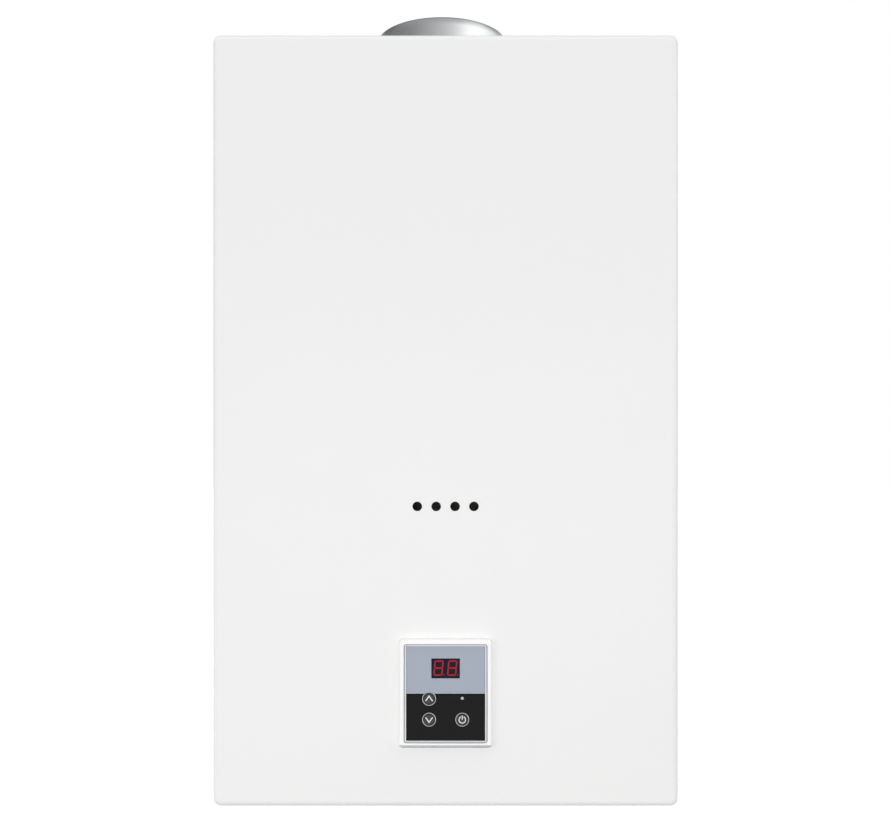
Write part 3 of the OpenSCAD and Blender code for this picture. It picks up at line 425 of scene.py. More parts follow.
def woven(name, colour):
    """Fine wire gauze."""
    tree, shader = blank(name)
    wires = tree.nodes.new("ShaderNodeTexWave")
    wires.bands_direction = "Z"
    wires.inputs["Scale"].default_value = 420.0
    wires.inputs["Distortion"].default_value = 0.4
    tree.links.new(place(tree), wires.inputs["Vector"])
    colours = tint(tree, wires.outputs["Fac"], [(0.2, scaled(colour, 0.35)), (0.7, colour)])
    tree.links.new(colours, shader.inputs["Base Color"])
    relief(tree, shader, wires.outputs["Fac"], 0.0001, 0.8)
    shader.inputs["Metallic"].default_value = 1.0
    shader.inputs["Roughness"].default_value = 0.35


def lit(name, colour, strength):
    """A glowing figure bar, a little brighter where its chip sits."""
    tree, shader = blank(name)
    spots = noise(tree, place(tree), 900.0, 1.0)
    glow = tint(tree, spots, [(0.3, scaled(colour, 0.9)), (0.7, colour)])
    tree.links.new(glow, shader.inputs["Emission Color"])
    shader.inputs["Emission Strength"].default_value = strength
    shader.inputs["Base Color"].default_value = (0.12, 0.004, 0.006, 1)
    shader.inputs["Roughness"].default_value = 0.4
    shader.inputs["Specular IOR Level"].default_value = 0.15


enamel("white_enamel", (0.876, 0.876, 0.873))
spangled("zinc_sheet", (0.56, 0.57, 0.58))
finish("burner_steel", (0.50, 0.49, 0.48), 0.36, 1.0, mottle=0.16, mottle_scale=22.0, grain=500.0,
       stretch=(1, 0.1, 1))
collar_metal("collar_steel", (0.62, 0.63, 0.64))
turned("screw_steel", (0.70, 0.70, 0.69), 0.30)
finish("gasket_rubber", (0.030, 0.030, 0.031), 0.75, mottle=0.15, grain=900.0, depth=0.00006)
see_through("clear_glass", (0.30, 0.32, 0.32), 1.0, 0.02, 1, 1.12)
see_through("mica", (0.80, 0.68, 0.42), 0.6, 0.2, 30, 1.5)
copper("copper", (0.80, 0.42, 0.27))
turned("brass", (0.78, 0.58, 0.28), 0.30)
finish("gas_tube", (0.60, 0.61, 0.62), 0.34, 1.0, mottle=0.06, grain=700.0)
finish("electrode_ceramic", (0.82, 0.80, 0.75), 0.30, mottle=0.03, grain=800.0, depth=0.00002)
finish("valve_casting", (0.58, 0.59, 0.60), 0.46, 0.9, mottle=0.08, mottle_scale=40.0, grain=520.0,
       depth=0.0001)
finish("coil_moulding", (0.20, 0.085, 0.045), 0.42, mottle=0.08, grain=900.0, depth=0.00004)
turned("plunger_steel", (0.56, 0.56, 0.57), 0.26)
woven("filter_mesh", (0.62, 0.62, 0.62))
finish("rotor_plastic", (0.84, 0.84, 0.81), 0.35, mottle=0.02, grain=900.0)
finish("black_plastic", (0.026, 0.026, 0.028), 0.48, mottle=0.10, grain=1500.0, depth=0.00005)
finish("knob_plastic", (0.045, 0.045, 0.048), 0.46, mottle=0.10, grain=1300.0, depth=0.00006)
finish("box_plastic", (0.80, 0.80, 0.77), 0.42, mottle=0.02, grain=1200.0, depth=0.00005)
board("circuit_board", (0.035, 0.16, 0.07))
finish("wire_sheath", (0.11, 0.03, 0.024), 0.55, mottle=0.10, grain=700.0, depth=0.00004)
finish("bezel_plastic", (0.955, 0.955, 0.950), 0.24, mottle=0.006, mottle_scale=20.0, wander=0.03,
       grain=900.0, depth=0.00001, coat=0.2, coat_rough=0.08)
# Painted shade: a grey that darkens the downward slope of the surround's foot, in place of the shade that falls
# there
finish("painted_shade_grey", (0.68, 0.68, 0.675), 0.32, mottle=0.01, grain=900.0, depth=0.00001)
finish("frame_silver", (0.66, 0.67, 0.69), 0.34, 0.85, mottle=0.03, mottle_scale=30.0, grain=600.0,
       depth=0.00001, stretch=(1, 1, 0.08))
finish("display_film", (0.370, 0.408, 0.487), 0.36, mottle=0.012, mottle_scale=14.0, grain=1600.0,
       depth=0.00001, spec=0.35)
finish("keypad_film", (0.0060, 0.0060, 0.0062), 0.34, mottle=0.06, mottle_scale=60.0, grain=1800.0,
       depth=0.00001, spec=0.12)
finish("led_face", (0.006, 0.006, 0.017), 0.22, mottle=0.05, grain=1400.0, depth=0.000005, spec=0.12)
lit("led_red", (0.29, 0.013, 0.024), 0.95)
lit("led_dim", (0.20, 0.045, 0.030), 0.9)
finish("status_lens", (0.52, 0.53, 0.52), 0.25, mottle=0.03, grain=1200.0, depth=0.00001)
finish("key_plastic", (0.035, 0.035, 0.037), 0.38, mottle=0.10, mottle_scale=160.0, grain=2200.0,
       depth=0.00002, spec=0.4)
finish("switch_metal", (0.66, 0.66, 0.67), 0.30, 1.0, mottle=0.05, grain=900.0)
finish("print_white", (0.77, 0.77, 0.77), 0.45, mottle=0.02, grain=1500.0, depth=0.00001)

# Every node of the frame gets the material of its slot
slot_of = {part["node"]: part["material_slot"] for part in frame["record"]["subparts"]}
for node, obj in nodes.items():
    obj.material_slots[0].material = bpy.data.materials[slot_of[node]]


# Mesh tools

def metres(x, y, z):
    """A place on the heater, from millimetres to the frame's metres."""
    return (x / 1000, y / 1000, (z + BASE_Z) / 1000)


def piece(name, mesh, body, slot, stands_for=(), material=None, sharp=32.0):
    """Turns a mesh in metres into a named piece that rides on a body."""
    mesh.name = name
    mesh.materials.append(bpy.data.materials[material or slot])
    mesh.shade_smooth()
    mesh.set_sharp_from_angle(angle=math.radians(sharp))
    obj = bpy.data.objects.new(name, mesh)
    scene.collection.objects.link(obj)
    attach(obj, body)
    if stands_for:
        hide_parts(*stands_for)


def clean(bm):
    """Joins doubled points and turns every face outwards."""
    bmesh.ops.remove_doubles(bm, verts=bm.verts, dist=1e-7)
    bmesh.ops.dissolve_degenerate(bm, dist=1e-8, edges=bm.edges)
    bmesh.ops.recalc_face_normals(bm, faces=bm.faces)


def plain_mesh(bm):
    """Turns a working mesh into a mesh and lets the working one go."""
    mesh = bpy.data.meshes.new("part")
    bm.to_mesh(mesh)
    bm.free()
    return mesh


def to_mesh(bm):
    """The same, cleaned first."""
    clean(bm)
    return plain_mesh(bm)


def arc(centre, radius, start, stop, steps):
    """Points round a centre, from one angle to another in degrees."""
    turns = [math.radians(start + (stop - start) * k / steps) for k in range(steps + 1)]
    return [(centre[0] + radius * math.cos(t), centre[1] + radius * math.sin(t)) for t in turns]


def spin(bm, ring_at, count, frame_at=Matrix.Identity(4)):
    """Adds a closed loop of points, given for each angle as (radius, height), carried round the axis."""
    rows = []
    for i in range(count):
        angle = 2 * math.pi * i / count
        c, s = math.cos(angle), math.sin(angle)
        rows.append([bm.verts.new(frame_at @ Vector((r * c, r * s, h))) for r, h in ring_at(angle)])
    length = len(rows[0])
    for i in range(count):
        here, after = rows[i], rows[(i + 1) % count]
        for j in range(length):
            k = (j + 1) % length
            bm.faces.new((here[j], after[j], after[k], here[k]))


def revolve(bm, loop, count, frame_at=Matrix.Identity(4)):
    """Adds a closed (radius, height) loop that is the same all the way round."""
    spin(bm, lambda angle: loop, count, frame_at)


def stand(x, y, z):
    """Frame with its axis up, scaled so that lengths in it are millimetres."""
    return Matrix.Translation(metres(x, y, z)) @ Matrix.Scale(0.001, 4)


def lie(x, y, z, towards):
    """The same with its axis along a direction."""
    turn = Vector((0, 0, 1)).rotation_difference(Vector(towards)).to_matrix().to_4x4()
    return Matrix.Translation(metres(x, y, z)) @ turn @ Matrix.Scale(0.001, 4)


def round_off(points, radii, steps):
    """Rounds the corners of a closed (radius, height) loop, each by its own radius."""
    out = []
    for i, (point, radius) in enumerate(zip(points, radii)):
        if radius <= 0:
            out.append(point)
            continue
        here = Vector(point)
        a, b = Vector(points[i - 1]) - here, Vector(points[(i + 1) % len(points)]) - here
        half = max(0.05, a.angle(b) / 2)
        reach = min(radius / math.tan(half), 0.45 * a.length, 0.45 * b.length)
        start, stop = here + a.normalized() * reach, here + b.normalized() * reach
        for k in range(steps + 1):
            t = k / steps
            out.append(tuple(start.lerp(here, t).lerp(here.lerp(stop, t), t)))
    return out


def add_box(bm, low, high, frame_at):
    """Adds a closed box between two corners."""
    corners = [(x, y, z) for x in (low[0], high[0]) for y in (low[1], high[1]) for z in (low[2], high[2])]
    v = [bm.verts.new(frame_at @ Vector(c)) for c in corners]
    for f in ((0, 1, 3, 2), (4, 6, 7, 5), (0, 4, 5, 1), (2, 3, 7, 6), (0, 2, 6, 4), (1, 5, 7, 3)):
        bm.faces.new([v[i] for i in f])


def add_mesh(bm, mesh, at):
    """Adds a copy of a mesh, placed by a frame."""
    start = len(bm.verts)
    bm.from_mesh(mesh)
    bm.verts.ensure_lookup_table()
    bmesh.ops.transform(bm, matrix=at, verts=bm.verts[start:])


def bridge(bm, rows):
    """Joins rows of points to a closed skin: round each row, from row to row and from the last to the first."""
    for here, after in zip(rows, rows[1:] + rows[:1]):
        for i in range(len(here)):
            j = (i + 1) % len(here)
            bm.faces.new((here[i], here[j], after[j], after[i]))


def prism(bm, foot, top):
    """Adds a closed solid between two outlines that have as many points each."""
    low = [bm.verts.new(p) for p in foot]
    high = [bm.verts.new(p) for p in top]
    bm.faces.new(low[::-1])
    bm.faces.new(high)
    for i in range(len(low)):
        j = (i + 1) % len(low)
        bm.faces.new((low[i], low[j], high[j], high[i]))


def carve(mesh, cutter):
    """The first mesh less the second."""
    a = bpy.data.objects.new("carved", mesh)
    b = bpy.data.objects.new("cutter", cutter)
    for o in (a, b):
        scene.collection.objects.link(o)
    step = a.modifiers.new("cut", "BOOLEAN")
    step.object = b
    step.operation = "DIFFERENCE"
    step.solver = "EXACT"
    bpy.context.view_layer.update()
    graph = bpy.context.evaluated_depsgraph_get()
    result = bpy.data.meshes.new_from_object(a.evaluated_get(graph))
    for o in (a, b):
        bpy.data.objects.remove(o)
    return result


# Hexagons and threads

def hex_radius(angle, corner):
    """Radius of a hexagon's side at an angle, corner being the radius of its corners."""
    turn = (angle + math.pi / 6) % (math.pi / 3) - math.pi / 6
    return corner * math.cos(math.pi / 6) / math.cos(abs(turn) - math.pi / 6)


def hexagon(bm, corner, low, high, bore, at):
    """Adds a hexagon nut with chamfered corners, its bore eased at each end."""
    flat = corner * math.cos(math.pi / 6)
    land = flat * 0.985
    ease = min(0.5, (flat - bore) * 0.25)

    def ring(angle):
        r = hex_radius(angle, corner)
        drop = max(0.0, (r - land) * math.tan(math.radians(30)))
        return [(bore, low + ease), (bore + ease, low), (land, low), (r, low + drop + 0.02),
                (r, high - drop - 0.02), (land, high), (bore + ease, high), (bore, high - ease)]

    spin(bm, ring, 96, at)


def thread_radius(angle, z):
    """Radius of a rounded pipe thread, which starts narrow at its foot and fades out at its top."""
    turn = (z / THREAD_PITCH - angle / (2 * math.pi)) % 1.0
    wave = abs(2 * turn - 1)
    crest = min(1.0, max(0.0, (wave - 0.14) / 0.70))
    crest = crest * crest * (3 - 2 * crest)
    fade = min(1.0, max(0.0, (THREAD_TOP - z) / (1.2 * THREAD_PITCH)))
    lead = THREAD_R - THREAD_DEPTH - 0.25 + (z - STUB_Z) * 0.9
    return min(THREAD_R - THREAD_DEPTH * (1 - crest) * fade, lead)


def connection(bm, x, body_r, top, inside):
    """Adds a connection through the bottom plate; inside is the loop of its bore, from the top down."""
    length = THREAD_TOP - STUB_Z
    steps = int(length / THREAD_PITCH * STEPS_PER_TURN)
    heights = [STUB_Z + length * k / steps for k in range(steps + 1)]
    foot_top = FLOOR_Z + FOOT_T
    outside = [(NECK_R, THREAD_TOP + 0.1), (NECK_R, FLOOR_Z), (FOOT_R - FOOT_EDGE, FLOOR_Z),
               (FOOT_R, FLOOR_Z + FOOT_EDGE), (FOOT_R, foot_top - FOOT_EDGE), (FOOT_R - FOOT_EDGE, foot_top),
               (body_r, foot_top), (body_r, top - BODY_EDGE), (body_r - BODY_EDGE, top)]
    bore_r = inside[-1][0]
    mouth = [(bore_r, STUB_Z + 0.5), (bore_r + 0.5, STUB_Z)]

    def ring(angle):
        return [(thread_radius(angle, z), z) for z in heights] + outside + inside + mouth

    spin(bm, ring, 96, stand(x, MID_Y, 0))


# Gas connection, a plain bore
bm = bmesh.new()
connection(bm, GAS_X, GAS_BODY_R, GAS_TOP, [(GAS_BORE_R + 0.4, GAS_TOP), (GAS_BORE_R, GAS_TOP - 0.4)])
piece("gas_fitting", to_mesh(bm), "heater", "brass", ["gas_inlet"])

# Cold connection, with a socket for its pipe, the rotor's room and spindle, and the branch to the drain
rotor_foot, rotor_top = ROTOR_ROOM_Z
spindle_foot, spindle_top = SPINDLE_Z
bm = bmesh.new()
connection(bm, WATER_X, COLD_BODY_R, COLD_TOP,
           [(SOCKET_R, COLD_TOP), (SOCKET_R, rotor_top), (ROTOR_ROOM_R, rotor_top), (ROTOR_ROOM_R, rotor_foot),
            (WATER_BORE_R, rotor_foot)])
revolve(bm, [(BRANCH_BORE_R, 0), (BRANCH_R, 0), (BRANCH_R, 10), (BRANCH_BORE_R, 10)], 48,
        lie(WATER_X + COLD_BODY_R - 2, MID_Y, BRANCH_Z, (1, 0, 0)))
spindle = stand(WATER_X, MID_Y, 0)
revolve(bm, [(0, spindle_foot), (SPINDLE_R, spindle_foot), (SPINDLE_R, spindle_top), (0, spindle_top)], 24,
        spindle)
for reach, foot in ((8.5, spindle_foot - SPIDER_T), (8.0, spindle_top)):
    add_box(bm, (-reach, -1, foot), (reach, 1, foot + SPIDER_T), spindle)
piece("cold_fitting", to_mesh(bm), "heater", "brass", ["water_inlet"])

# Hot connection, with a socket for its pipe and the boss of its thermistor
bm = bmesh.new()
connection(bm, -WATER_X, HOT_BODY_R, HOT_TOP,
           [(SOCKET_R, HOT_TOP), (SOCKET_R, HOT_STEP), (WATER_BORE_R, HOT_STEP)])
revolve(bm, [(0, 0), (BOSS_R - 0.4, 0), (BOSS_R, 0.4), (BOSS_R, 4), (0, 4)], 48,
        lie(-WATER_X, MID_Y - 16, BOSS_Z, (0, 1, 0)))
piece("hot_fitting", to_mesh(bm), "heater", "brass", ["hot_outlet"])

# Lock nuts under the plate, union nuts on both water pipes and the nut of the jacket coil
bm = bmesh.new()
for x in (-WATER_X, GAS_X, WATER_X):
    hexagon(bm, NUT_CORNER, NUT_Z, PLATE_Z, NECK_R + 0.05, stand(x, MID_Y, 0))
for x, foot in ((WATER_X, COLD_TOP), (-WATER_X, HOT_TOP)):
    hexagon(bm, UNION_CORNER, foot, foot + UNION_H, SOCKET_R, stand(x, MID_Y, 0))
hexagon(bm, COIL_NUT_CORNER, *COIL_NUT_Z, SOCKET_R, stand(COIL_X, MID_Y, 0))
piece("union_nuts", to_mesh(bm), "heater", "brass", ["pipe_nuts"])


# Drain knob and cable gland

def knob_ring(angle):
    """Drain knob: six soft lobes over a plain collar, hollow where its stem enters."""
    lobe = max(0.0, math.cos(KNOB_LOBES * angle)) ** 0.7
    grip = KNOB_R + 2 * lobe
    edge = KNOB_R - 0.6 + 1.9 * lobe
    points = [(3.3, -15.3), (3.3, -5.3), (7.2, -5.3), (KNOB_R, -6.6), (KNOB_R, -8), (grip, -9.2), (grip, -17.2),
              (edge, -18), (0, -18), (0, -15.3)]
    return round_off(points, [0, 0.3, 0.5, 0.8, 0.6, 0.9, 0.7, 0.5, 0, 0], 3)


bm = bmesh.new()
spin(bm, knob_ring, 144, stand(DRAIN_X, MID_Y, 0))
piece("drain_handle", to_mesh(bm), "drain_knob", "knob_plastic", ["drain_knob"], sharp=40)


def dome_ring(angle):
    """Cable gland: a dome nut with grip flutes below, and its sleeve up through the plate."""
    flute = 0.35 * max(0.0, math.cos(GLAND_FLUTES * angle))
    grip = GLAND_R - flute
    return [(3.5, -12.0), (4.0, -12.5), (5.2, -12.4), (6.5, -11.6), (7.3 - flute * 0.4, -10.4),
            (7.8 - flute, -9.0), (grip, -7.4), (grip, -6.2), (7.6, -5.6), (7.55, -5.5), (7.5, PLATE_Z),
            (7.9, PLATE_Z + 0.1), (7.9, 13.0), (7.4, 13.5), (3.9, 13.5), (3.5, 13.1)]


gland = stand(GLAND_X, GLAND_Y, 0)
bm = bmesh.new()
spin(bm, dome_ring, 180, gland)
hexagon(bm, GLAND_CORNER, -5.5, PLATE_Z, 7.6, gland)
hexagon(bm, GLAND_CORNER, FLOOR_Z, FLOOR_Z + 5, 7.95, gland)
piece("gland_body", to_mesh(bm), "heater", "black_plastic", ["cable_gland"], sharp=40)


# Screws

def screw_mesh(head_r, head_h, shank_r, shank_l):
    """Pan-head screw with a cross recess, its axis up and its seat at height 0, in millimetres."""
    bm = bmesh.new()
    dome = [(head_r * c, head_h * (0.35 + 0.65 * s)) for c, s in arc((0, 0), 1, 0, 90, 10)[:-1]]
    foot = [(0, -shank_l), (shank_r * 0.3, -shank_l), (shank_r * 0.8, -shank_l + 1.2)]
    revolve(bm, [(shank_r, 0), (head_r * 0.97, 0), (head_r, head_h * 0.06), *dome, (0, head_h), *foot], 64)
    screw = to_mesh(bm)
    half, reach, deep, top = head_r * 0.13, head_r * 0.62, head_h * 0.32, head_h + 0.5
    for turn in (0, 90):
        at = Matrix.Rotation(math.radians(turn), 4, "Z")
        arm = bmesh.new()
        prism(arm, [at @ Vector((x * reach * 0.45, y * half * 0.7, deep)) for x, y in SQUARE],
              [at @ Vector((x * reach, y * half, top)) for x, y in SQUARE])
        screw = carve(screw, to_mesh(arm))
    return screw


side_screw = screw_mesh(head_r=4, head_h=2.4, shank_r=1.9, shank_l=6)
flange_screw = screw_mesh(head_r=3.6, head_h=2.2, shank_r=1.9, shank_l=7)
valve_screw = screw_mesh(head_r=2.7, head_h=1.8, shank_r=1.45, shank_l=8)
bm = bmesh.new()
for k, (side, z) in enumerate((side, z) for side in (-1, 1) for z in SIDE_SCREW_Z):
    turn = Matrix.Rotation(math.radians(17 + 29 * k), 4, "Z")
    add_mesh(bm, side_screw, lie(side * CASE_HALF, SIDE_SCREW_Y, z, (side, 0, 0)) @ turn)
for k, (sx, sy) in enumerate(CORNERS):
    turn = Matrix.Rotation(math.radians(8 + 23 * k), 4, "Z")
    seat = stand(FLUE_X + sx * SCREW_RING, MID_Y + sy * SCREW_RING, FLANGE_Z + FLANGE_T)
    add_mesh(bm, flange_screw, seat @ turn)
for x in VALVE_X:
    for sx, sy in CORNERS:
        across, deep = sx * VALVE_SCREW_PITCH / 2, sy * VALVE_SCREW_PITCH / 2
        add_mesh(bm, valve_screw, stand(x + across, MID_Y + deep, VALVE_TOP))
piece("cross_screws", plain_mesh(bm), "heater", "screw_steel", ["screws"])

# Flue collar: neck and wall in one, the wall drawn in below its rolled rim
tilt = math.radians(DRAW_TILT)
rim_at = (WALL_R - DRAW_R * (1 - math.cos(tilt)) - RIM_R * math.cos(tilt), COLLAR_TOP - RIM_R)
draw_at = (WALL_R - DRAW_R, rim_at[1] + (RIM_R - DRAW_R) * math.sin(tilt))
drawn = arc(draw_at, DRAW_R, 0, DRAW_TILT, 6)[:-1]
rim = arc(rim_at, RIM_R, DRAW_TILT, DRAW_TILT + RIM_SWEEP, 16)
neck_foot, neck_top = NECK_Z
inside = [(WALL_R - WALL_T, COLLAR_TOP - 3.1), (WALL_R - WALL_T, neck_top), (NECK_WALL_R - WALL_T, neck_top),
          (NECK_WALL_R - WALL_T, neck_foot), (NECK_WALL_R, neck_foot), (NECK_WALL_R, FLANGE_Z + 0.5)]
bm = bmesh.new()
collar_at = stand(FLUE_X, MID_Y, 0)
revolve(bm, [(WALL_R, FLANGE_Z + 0.5)] + drawn + rim + inside, 192, collar_at)

# Flange of the collar, with four holes for its screws
flange_top = FLANGE_Z + FLANGE_T
plate = bmesh.new()
revolve(plate, [(FLANGE_INNER_R, FLANGE_Z), (FLANGE_R - 0.2, FLANGE_Z), (FLANGE_R, FLANGE_Z + 0.2),
                (FLANGE_R, flange_top - 0.2), (FLANGE_R - 0.2, flange_top), (FLANGE_INNER_R, flange_top)], 144)
drills = bmesh.new()
for sx, sy in CORNERS:
    at = Matrix.Translation((sx * SCREW_RING, sy * SCREW_RING, FLANGE_Z))
    bmesh.ops.create_cone(drills, cap_ends=True, segments=32, radius1=FLANGE_HOLE_R, radius2=FLANGE_HOLE_R,
                          depth=6, matrix=at)
add_mesh(bm, carve(to_mesh(plate), plain_mesh(drills)), collar_at)
piece("collar_tube", to_mesh(bm), "heater", "collar_steel", ["flue_collar"])


# Keys with their marks and rings

def panel_frame(x, z, y):
    """Frame on the panel with its axis towards the viewer, in millimetres."""
    turn = Matrix.Rotation(math.pi / 2, 4, "X")
    return Matrix.Translation(metres(x, y, PANEL_Z + z)) @ turn @ Matrix.Scale(0.001, 4)


def add_plates(bm, outlines, back, front, at):
    """Adds closed plates from flat outlines, from depth back to depth front."""
    for outline in outlines:
        rear = [at @ Vector((x, z, back)) for x, z in outline]
        face = [at @ Vector((x, z, front)) for x, z in outline]
        prism(bm, rear, face)


def stroke(points, half):
    """Outline of a line of given half width, with round ends and mitred bends."""
    path = [Vector(p) for p in points]
    ways = [(b - a).normalized() for a, b in zip(path, path[1:])]
    sides = [Vector((-way.y, way.x)) for way in ways]
    left, right = [], []
    for here, before, after in zip(path[1:-1], sides, sides[1:]):
        mitre = (before + after).normalized()
        reach = half / mitre.dot(before)
        left.append(tuple(here + mitre * reach))
        right.append(tuple(here - mitre * reach))
    first, last = [math.degrees(math.atan2(side.y, side.x)) for side in (sides[0], sides[-1])]
    start_cap = arc(path[0], half, first + 180, first, 8)
    end_cap = arc(path[-1], half, last, last - 180, 8)
    return start_cap + left + end_cap + right[::-1]


def arc_band(radius, half, start, stop):
    """Outline of an arc of given half width with round ends, from one angle to another in degrees."""
    tail, tip = arc((0, 0), radius, start, stop, 1)
    return (arc((0, 0), radius + half, start, stop, 40) + arc(tip, half, stop, stop + 180, 8)[1:-1]
            + arc((0, 0), radius - half, stop, start, 40) + arc(tail, half, start + 180, start + 360, 8)[1:-1])


def mark_outlines(name):
    """Marks printed on the keys: the power sign, or a chevron up or down."""
    if name == "power_key":
        return [arc_band(POWER_R, POWER_HALF, 122, 418), stroke([(0, 0.4), (0, 2.9)], POWER_BAR_HALF)]
    way, lift = (1, 0.45) if name == "up_key" else (-1, -0.15)
    foot, tip = lift - CHEVRON_RISE * way, lift + CHEVRON_RISE * way
    return [stroke([(-CHEVRON_REACH * way, foot), (0, tip), (CHEVRON_REACH * way, foot)], CHEVRON_HALF)]


# A key is a softly dished cap with a rounded edge, a skirt behind the chassis and a stem to its switch
stem_end = KEY_Y - (BOARD_Y - SWITCH_H - KEY_TRAVEL - FREE_GAP)
skirt_front = KEY_Y - (CHASSIS_Y + FREE_GAP)
CAP = [(0, -0.10), (1.2, -0.09), (2.4, -0.05), (KEY_R - 0.9, 0.0), (KEY_R - 0.45, 0.0), (KEY_R - 0.17, -0.10),
       (KEY_R - 0.04, -0.28), (KEY_R, -0.5), (KEY_R, skirt_front), (KEY_SKIRT_R, skirt_front),
       (KEY_SKIRT_R, skirt_front - 1), (KEY_STEM_R, skirt_front - 1), (KEY_STEM_R, stem_end + 0.2),
       (KEY_STEM_R - 0.2, stem_end), (0, stem_end)]
for name, (x, z) in KEYS.items():
    at = panel_frame(x, z, KEY_Y)
    bm = bmesh.new()
    revolve(bm, CAP, 72, at)
    piece(name + "_cap", to_mesh(bm), name, "key_plastic", [name])
    bm = bmesh.new()
    add_plates(bm, mark_outlines(name), MARK_BACK, MARK_FRONT, at)
    piece(name + "_mark", to_mesh(bm), name, "status_lens", material="print_white", sharp=40)

# Rings round the keys, a rounded bead on the fascia
middle = RING_R - RING_BEAD
ring_loop = [*arc((middle, 0.25), RING_BEAD, 0, 180, 8), (middle - RING_BEAD, 0), (middle + RING_BEAD, 0)]
bm = bmesh.new()
for x, z in KEYS.values():
    revolve(bm, ring_loop, 96, panel_frame(x, z, FASCIA_Y))
piece("ring_beads", to_mesh(bm), "heater", "frame_silver", ["key_rings"], sharp=50)

# Painted shade: a grey skin on the downward slope of the surround's foot, a thin skin on the face of the solid
# that makes the slope darker where shade falls
slope = Vector((0, -3.7, -4.6)).normalized()
bm = bmesh.new()
bm.from_mesh(nodes["panel_bezel"].data)
bm.transform(nodes["panel_bezel"].matrix_world)
bm.normal_update()
others = [face for face in bm.faces if face.normal.dot(slope) < 0.999]
bmesh.ops.delete(bm, geom=others, context="FACES")
raised = bmesh.ops.extrude_face_region(bm, geom=bm.faces[:])["geom"]
skin = [part for part in raised if isinstance(part, bmesh.types.BMVert)]
bmesh.ops.translate(bm, vec=slope * SHADE_SKIN_T / 1000, verts=skin)
piece("foot_painted_shade", to_mesh(bm), "heater", "bezel_plastic", material="painted_shade_grey", sharp=50)

# Inner frame of the panel, given as (inset, rise): a low step outside and a rounded bead inside
STEP_AND_BEAD = [(0, -2.0), (0, -0.46), (0.06, -0.4), (0.46, -0.4), (0.54, -0.34), (0.6, -0.16), (0.72, -0.05),
                 (0.92, 0), (1.4, 0), (1.6, -0.06), (1.71, -0.18), (1.75, -0.34), (1.75, -2.0)]


def frame_outline(inset):
    """Rounded rectangle of the frame, drawn in by an inset."""
    r = max(0.1, FRAME_R - inset)
    x, z = FRAME_W / 2 - inset - r, FRAME_H / 2 - inset - r
    points = []
    for quarter, (sx, sz) in enumerate(((1, 1), (-1, 1), (-1, -1), (1, -1))):
        points += arc((sx * x, sz * z), r, 90 * quarter, 90 * quarter + 90, 6)
    return points


bm = bmesh.new()
at = panel_frame(0, 0, FRAME_Y)
bridge(bm, [[bm.verts.new(at @ Vector((x, z, rise))) for x, z in frame_outline(inset)]
            for inset, rise in STEP_AND_BEAD])

# Thin bar along the seam between the fascias, broken where the ring of the up key crosses it
seam_end = FRAME_W / 2 - 1.2
key_x = KEYS["up_key"][0]
for low, high in ((-seam_end, key_x - SEAM_REACH), (key_x + SEAM_REACH, seam_end)):
    add_box(bm, (low, SEAM_LOW, -2.0), (high, SEAM_HIGH, -0.3), at)
piece("frame_rim", to_mesh(bm), "heater", "frame_silver", ["panel_frame"], sharp=50)


# Two-figure display: seven bars a figure, mitred where they meet and rounded at the outer corners

def corner_arc(sx, sz, start, stop):
    """Outer corner of a figure, on one of its four sides."""
    middle = (sx * (FIGURE_W / 2 + BAR - CORNER), sz * (FIGURE_H / 2 + BAR - CORNER))
    return arc(middle, CORNER, start, stop, 4)


def bars():
    """Outlines of the seven bars of an upright figure."""
    w, h = FIGURE_W / 2, FIGURE_H / 2
    top = [(-w + BAR, h - BAR), *corner_arc(-1, 1, 135, 90), *corner_arc(1, 1, 90, 45), (w - BAR, h - BAR)]
    side = [(w - BAR, h - BAR), *corner_arc(1, 1, 45, 0), (w + BAR, BAR * 0.55), (w, 0), (w - BAR, BAR)]
    middle = [(-w, 0), (-w + BAR, BAR), (w - BAR, BAR), (w, 0), (w - BAR, -BAR), (-w + BAR, -BAR)]
    mirrored = [[(sx * x, sz * z) for x, z in side] for sx in (-1, 1) for sz in (-1, 1)]
    return [top, [(x, -z) for x, z in top], middle] + mirrored


def eased(outline, gap=0.08):
    """Draws an outline in towards its middle to leave a dark line between the bars, and slants it."""
    right, left = max(x for x, z in outline), min(x for x, z in outline)
    upper, lower = max(z for x, z in outline), min(z for x, z in outline)
    cx, cz = (left + right) / 2, (lower + upper) / 2
    moved = [(cx + (x - cx) * (1 - gap / (right - cx)), cz + (z - cz) * (1 - gap / (upper - cz)))
             for x, z in outline]
    return [(x + SLANT * z, z) for x, z in moved]


bm = bmesh.new()
for x in FIGURES_X:
    add_plates(bm, [eased(bar) for bar in bars()], 0.0, 0.2, panel_frame(x, FIGURES_Z, LED_Y))
piece("figure_bars", to_mesh(bm), "heater", "led_red", ["led_segments"])
bm = bmesh.new()
for x in POINTS_X:
    add_plates(bm, [arc((0, 0), POINT_R, 0, 360, 24)[:-1]], 0.0, 0.15, panel_frame(x, POINTS_Z, LED_Y))
piece("figure_dots", to_mesh(bm), "heater", "led_red", material="led_dim")


# Floor and surroundings

